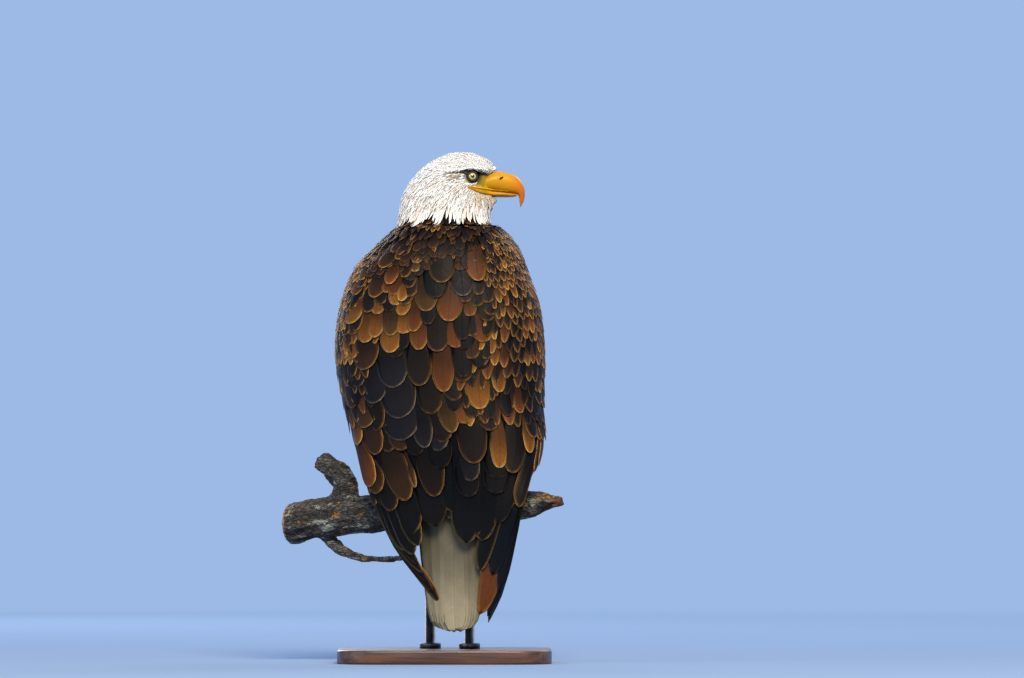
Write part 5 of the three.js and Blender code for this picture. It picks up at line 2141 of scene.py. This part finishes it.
@dataclass
class Underparts:
    """Dark brown contour feathers of breast, belly, thighs and rump.

    Attributes:
        seed: The source of chance.
    """

    seed: int = 41

    def tract(self, name: str, flesh: Flesh, rng: np.random.Generator, gap: float, size: tuple[float, float],
              keep: Callable[[Array], Array], shape: Shape) -> Coat:
        """One tract of scattered feathers.

        Args:
            name: The piece's name.
            flesh: The surface.
            rng: The seeded source of chance.
            gap: Least distance between roots, in metres.
            size: Length and width in millimetres.
            keep: True where roots may be.
            shape: The outline of the vanes.

        Returns:
            The coat.
        """
        coat = Coat(name, flesh, shape, SMALL, ragged=0.05)
        for spot in flesh.scatter(rng, lambda p: gap + 0 * p[..., 0], keep):
            scale = rng.uniform(0.82, 1.2)
            coat.feathers.append(Feather(
                place=spot, length=size[0] * scale * MM, width=size[1] * scale * MM,
                tone=pick(rng, ((T.DARK, 4), (T.BROWN, 4), (T.RUFOUS, 0.7), (T.BLACK, 1))),
                lift=(-0.005, rng.uniform(-0.0012, 0.0012)), heading=rng.normal(0, 0.1), bend=rng.normal(0, 0.12),
                roll=rng.normal(0, 0.05), light=rng.uniform(0.7, 1.15),
            ))
        return coat

    def build(self, flesh: Flesh, finish: bpy.types.Material, white: bpy.types.Material) -> None:
        """Builds and dresses the underparts."""
        rng = np.random.default_rng(self.seed)

        def turn(points: Array) -> Array:
            """Angle round the body from the middle of the back, in degrees."""
            return np.abs(np.degrees(OUTLINE.turn_of(points)))

        def inside(points: Array) -> Array:
            """True well inside the folded wings, or in front of them."""
            deep = np.linalg.norm(points - OUTLINE.settle(points)[0], axis=-1) > 0.014
            return deep | (turn(points) > 122)

        tracts = (
            ("breast", 0.0098, (36, 16), lambda p: (p[..., 2] > 0.42) & (p[..., 2] < 0.70) & (turn(p) > 104)
             & ((p[..., 2] > 0.48) | inside(p)), Shape.OVAL),
            ("thighs", 0.0105, (46, 16), lambda p: (p[..., 2] > 0.326) & (p[..., 2] < 0.425) & (turn(p) > 60) & inside(p),
             Shape.POINTED),
            ("rump", 0.017, (60, 26), lambda p: (p[..., 2] > 0.335) & (p[..., 2] < 0.43) & (turn(p) <= 62), Shape.OVAL),
        )
        for name, gap, size, keep, shape in tracts:
            dress(self.tract(name, flesh, rng, gap, size, keep, shape).build(rng), finish)
        vent = self.tract(
            "vent", flesh, rng, 0.0095, (38, 15),
            lambda p: (p[..., 2] < 0.318) & (to_body(p)[..., 1] < -22 * MM) & ~Skin.scaled(p), Shape.OVAL,
        )
        for feather in vent.feathers:
            feather.tone, feather.light = T.WHITE, rng.uniform(0.8, 0.98)
        dress(vent.build(rng), white)


# ---- feet and perch ----


@dataclass(frozen=True)
class Toe:
    """One toe and its talon, bent round the branch.

    Attributes:
        name: Which toe.
        spread: Angle outwards from straight ahead, in degrees, for the bird's right foot.
        way: 1 forwards, -1 backwards.
        reach: How far it reaches round the branch, in degrees.
    """

    name: str
    spread: float
    way: int
    reach: float


TOES = (Toe("inner", -26, 1, 72), Toe("middle", 0, 1, 88), Toe("outer", 28, 1, 76), Toe("hind", 0, -1, 58))


@dataclass(frozen=True)
class Foot:
    """Scutes and talons of one foot.

    Attributes:
        side: 1 on the right, -1 on the left.
        stance: Distance of the foot from the bird's middle line, in millimetres.
        branch: Radius of the branch, in millimetres.
        talon_turn: How far a talon reaches round the branch, in degrees.
    """

    side: int
    stance: float = 42
    branch: float = 29.5
    talon_turn: float = 62

    def place(self, toe: Toe, turn: Array | float, lift: Array | float) -> Array:
        """Places over a toe, by turn round the branch and height over the bark."""
        turn, lift = np.broadcast_arrays(np.asarray(turn, float), np.asarray(lift, float))
        radius = self.branch + lift
        out = math.tan(math.radians(toe.spread * self.side)) * radius * turn
        x, y, z = self.side * self.stance + out, toe.way * radius * np.sin(turn), radius * np.cos(turn)
        return to_world(np.stack((x, y, z), -1) * MM + PERCH_AXIS)

    def scutes(self, coat: Coat) -> None:
        """Adds a row of broad scutes along every toe and up the front of the shank."""
        for toe in TOES:
            for turn in np.arange(0.3, math.radians(toe.reach) - 0.02, 0.098):
                for aside, width in ((0, 10.5), (-5.6, 6.5), (5.6, 6.5)):
                    place = self.place(toe, turn + (0.04 if aside else 0), 18 - abs(aside) * 0.7)
                    place = place + turned(np.array((aside * MM, 0, 0)), -BODY_YAW)
                    coat.feathers.append(Feather(
                        place=place, length=6.4 * MM, width=width * MM, tone=T.SCUTE, lift=(-0.0002, 0.0009),
                    ))
        for height in np.arange(318, 292, -4.2):
            for aside, width in ((0, 11), (-8, 8), (8, 8)):
                place = to_world(np.array((self.side * self.stance + aside, 16 - abs(aside) * 0.8, height)) * MM)
                coat.feathers.append(Feather(
                    place=place, length=7 * MM, width=width * MM, tone=T.SCUTE, lift=(-0.0002, 0.0009),
                ))

    def talons(self, finish: bpy.types.Material) -> None:
        """Builds and dresses the talons."""
        name = "right" if self.side > 0 else "left"
        for toe in TOES:
            start = math.radians(toe.reach) - 0.06
            end = math.radians(toe.reach + self.talon_turn)
            share = np.linspace(0, 1, 18)
            turn = start + (end - start) * share
            path = self.place(toe, turn, 7.4 - 3.4 * share + 5.2 * np.sin(math.pi * share))
            bm = bmesh.new()
            tube(bm, path, (5.3 * (1 - share) ** 0.72 + 0.3) * MM, 16, 1.08)
            dress(piece_from(f"claw_{name}_{toe.name}", bm), finish, (f"talon_{name}_{toe.name}",))


def toe_lie(points: Array, normals: Array) -> Array:
    """The way scutes lie: away from the ankle, round the branch."""
    own = to_body(points) - PERCH_AXIS
    way, turn = np.sign(own[..., 1]), np.arctan2(np.abs(own[..., 1]), own[..., 2])
    round_ = np.stack((0 * turn, way * np.cos(turn), -np.sin(turn)), -1)
    down = np.array((0.0, 0.0, -1.0))
    ahead = np.where((points[..., 2] > 0.296)[..., None], down, turned(round_, -BODY_YAW))
    return unit(ahead - normals * (ahead * normals).sum(-1, keepdims=True))


@dataclass(frozen=True)
class Perch:
    """The branch: furrowed bark, sawn at the left and broken at the right.

    Attributes:
        sawn: Where it is sawn off, in millimetres along it.
        broken: Where the broken end begins.
        furrow: Depth of the bark's furrows, in metres.
    """

    sawn: float = -264
    broken: float = 168
    furrow: float = 0.0024

    def build(self, finish: bpy.types.Material) -> None:
        """Builds and dresses the branch."""
        piece = remeshed("branch", [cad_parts["perch"].data], 0.0023, 0.0)
        mesh = piece.data
        points = relaxed(mesh, read_points(mesh), np.full(len(mesh.vertices), 3))
        write_points(mesh, points)
        normals, own = read_points(mesh, "normal"), to_body(points)
        ridge = np.array([
            noise.fractal(Vector((x * 24, y * 75, z * 75)), 0.9, 2.1, 5) for x, y, z in own.tolist()
        ])
        lump = np.array([noise.noise(Vector((x * 30, y * 22, z * 22))) for x, y, z in own.tolist()])
        grip = 1 - 0.75 * smooth(0.082, 0.066, np.abs(own[:, 0])) * smooth(0.2, 0.215, own[:, 2])
        share = np.clip(0.5 + ridge * 0.9, 0, 1)
        cut = own[:, 0] < self.sawn * MM
        ending = smooth(self.broken, self.broken + 26, own[:, 0] / MM)
        height = ((share - 0.62) * self.furrow * 2 + lump * 0.0022) * grip * (1 - cut)
        write_points(mesh, points + normals * height[:, None])
        mesh.polygons.foreach_set("use_smooth", [True] * len(mesh.polygons))
        sawn, split = np.array(linear(176, 140, 98)), np.array(linear(132, 86, 58))
        give_colour(mesh, "tint", np.where(cut[:, None], sawn, split))
        bare = np.maximum(cut, ending * smooth(0.35, 0.6, share))
        give_vector(mesh, "bark", np.stack((share, bare, 0 * bare), 1))
        dress(piece, finish, ("perch",))


@dataclass(frozen=True)
class Stand:
    """A flat wooden base and two steel rods up to the branch.

    Attributes:
        size: Length, depth and thickness of the base, in millimetres.
        corner: Radius of its corners.
        rod: Radius of a rod.
        spacing: Distance between the rods.
        middle: Middle of the pair along the branch.
        collar: Radius and height of a rod's collar.
    """

    size: tuple[float, float, float] = (340, 290, 22)
    corner: float = 60
    rod: float = 8
    spacing: float = 66
    middle: float = 8
    collar: tuple[float, float] = (17, 9)

    def base(self, finish: bpy.types.Material) -> None:
        """The base plate, round at its corners and along its top edge."""
        bm = bmesh.new()
        bmesh.ops.create_cube(bm, size=1)
        bmesh.ops.scale(bm, vec=Vector(self.size) * MM, verts=bm.verts)
        bmesh.ops.translate(bm, vec=UP * self.size[2] / 2 * MM, verts=bm.verts)
        upright = [edge for edge in bm.edges if abs(edge.verts[0].co.z - edge.verts[1].co.z) > 0.001]
        bmesh.ops.bevel(bm, geom=upright, offset=self.corner * MM, segments=14, profile=0.5, affect="EDGES", material=-1)
        around = [edge for edge in bm.edges if abs(edge.verts[0].co.z - edge.verts[1].co.z) < 1e-6]
        bmesh.ops.bevel(bm, geom=around, offset=3 * MM, segments=4, profile=0.5, affect="EDGES", material=-1)
        piece = piece_from("base_plate", bm)
        piece.data.polygons.foreach_set("use_smooth", [abs(f.normal.z) < 0.999 for f in piece.data.polygons])
        dress(piece, finish, ("stand_base",))

    def rods(self, finish: bpy.types.Material) -> None:
        """The two rods with their collars."""
        wide, high = self.collar
        low = self.size[2] + 0.3
        profile = ((0.5, low), (wide, low), (wide, low + high - 2), (wide - 0.6, low + high - 0.6), (wide - 2, low + high),
                   (self.rod, low + high), (self.rod, 216), (0.5, 216))
        for name, side in (("left", -1), ("right", 1)):
            along = self.middle + side * self.spacing / 2
            foot = to_world(np.array((along, 0, 0)) * MM)
            bm = bmesh.new()
            verts = [bm.verts.new((r * MM, 0, z * MM)) for r, z in profile]
            edges = [bm.edges.new(pair) for pair in zip(verts, verts[1:])]
            bmesh.ops.spin(bm, geom=verts + edges, axis=(0, 0, 1), cent=(0, 0, 0), angle=2 * math.pi, steps=48, use_merge=True)
            bmesh.ops.holes_fill(bm, edges=bm.edges, sides=0)
            bmesh.ops.translate(bm, vec=Vector((foot[0], foot[1], 0)), verts=bm.verts)
            piece = piece_from(f"rod_{name}", bm)
            piece.data.polygons.foreach_set("use_smooth", [abs(f.normal.z) < 0.5 for f in piece.data.polygons])
            dress(piece, finish, (f"stand_rod_{name}",))


def main() -> None:
    """Builds the eagle, its perch and its stand."""
    logging.basicConfig(level=logging.INFO, format="%(message)s")
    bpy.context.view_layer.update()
    Studio().build()
    flesh = Flesh()
    body = FeatherFinish("feathers_brown").build()
    flight = FeatherFinish("flight_feathers", wash=0.25, roughness=0.42).build()
    tail = FeatherFinish("tail_feathers", shaft=1.15, root_dark=0.75, wash=0.3, streak=0.2, clouded=0.2).build()
    white = FeatherFinish("feathers_white", 1.0, 0.06, relief=0.2, streak=0.08, wash=0.3, clouded=0.06).build()
    Back().build(flesh, body, flight)
    for side in (1, -1):
        Wing(side).build(body, flight)
    Tail().build(tail, white)
    HeadPlumage().build(flesh, white)
    Underparts().build(flesh, body, white)
    scutes = Coat("scutes", flesh, Shape.SCALE, SMALL, lie=toe_lie, ragged=0.0)
    for side in (1, -1):
        foot = Foot(side)
        foot.scutes(scutes)
        foot.talons(TalonFinish().build())
    dress(scutes.build(np.random.default_rng(61)), FeatherFinish("scute", relief=0.1, root_dark=0.3).build())
    skin = SkinFinish().build()
    Skin().build(flesh, skin)
    for site in EYES:
        EyeBall(site).build(EyeFinish().build(), skin)
    Bill().build(flesh, BillFinish().build())
    Perch().build(BarkFinish().build())
    stand = Stand()
    stand.base(WoodFinish().build())
    stand.rods(MetalFinish().build())
    pieces = [item for item in bpy.context.scene.objects if item.type == "MESH"]
    counts = {item.name: sum(len(face.vertices) - 2 for face in item.data.polygons) for item in pieces}
    heavy = max(counts, key=counts.get)
    logging.info("%d meshes, %d triangles, at most %d in %s", len(pieces), sum(counts.values()), counts[heavy], heavy)


if __name__ == "__main__":
    main()
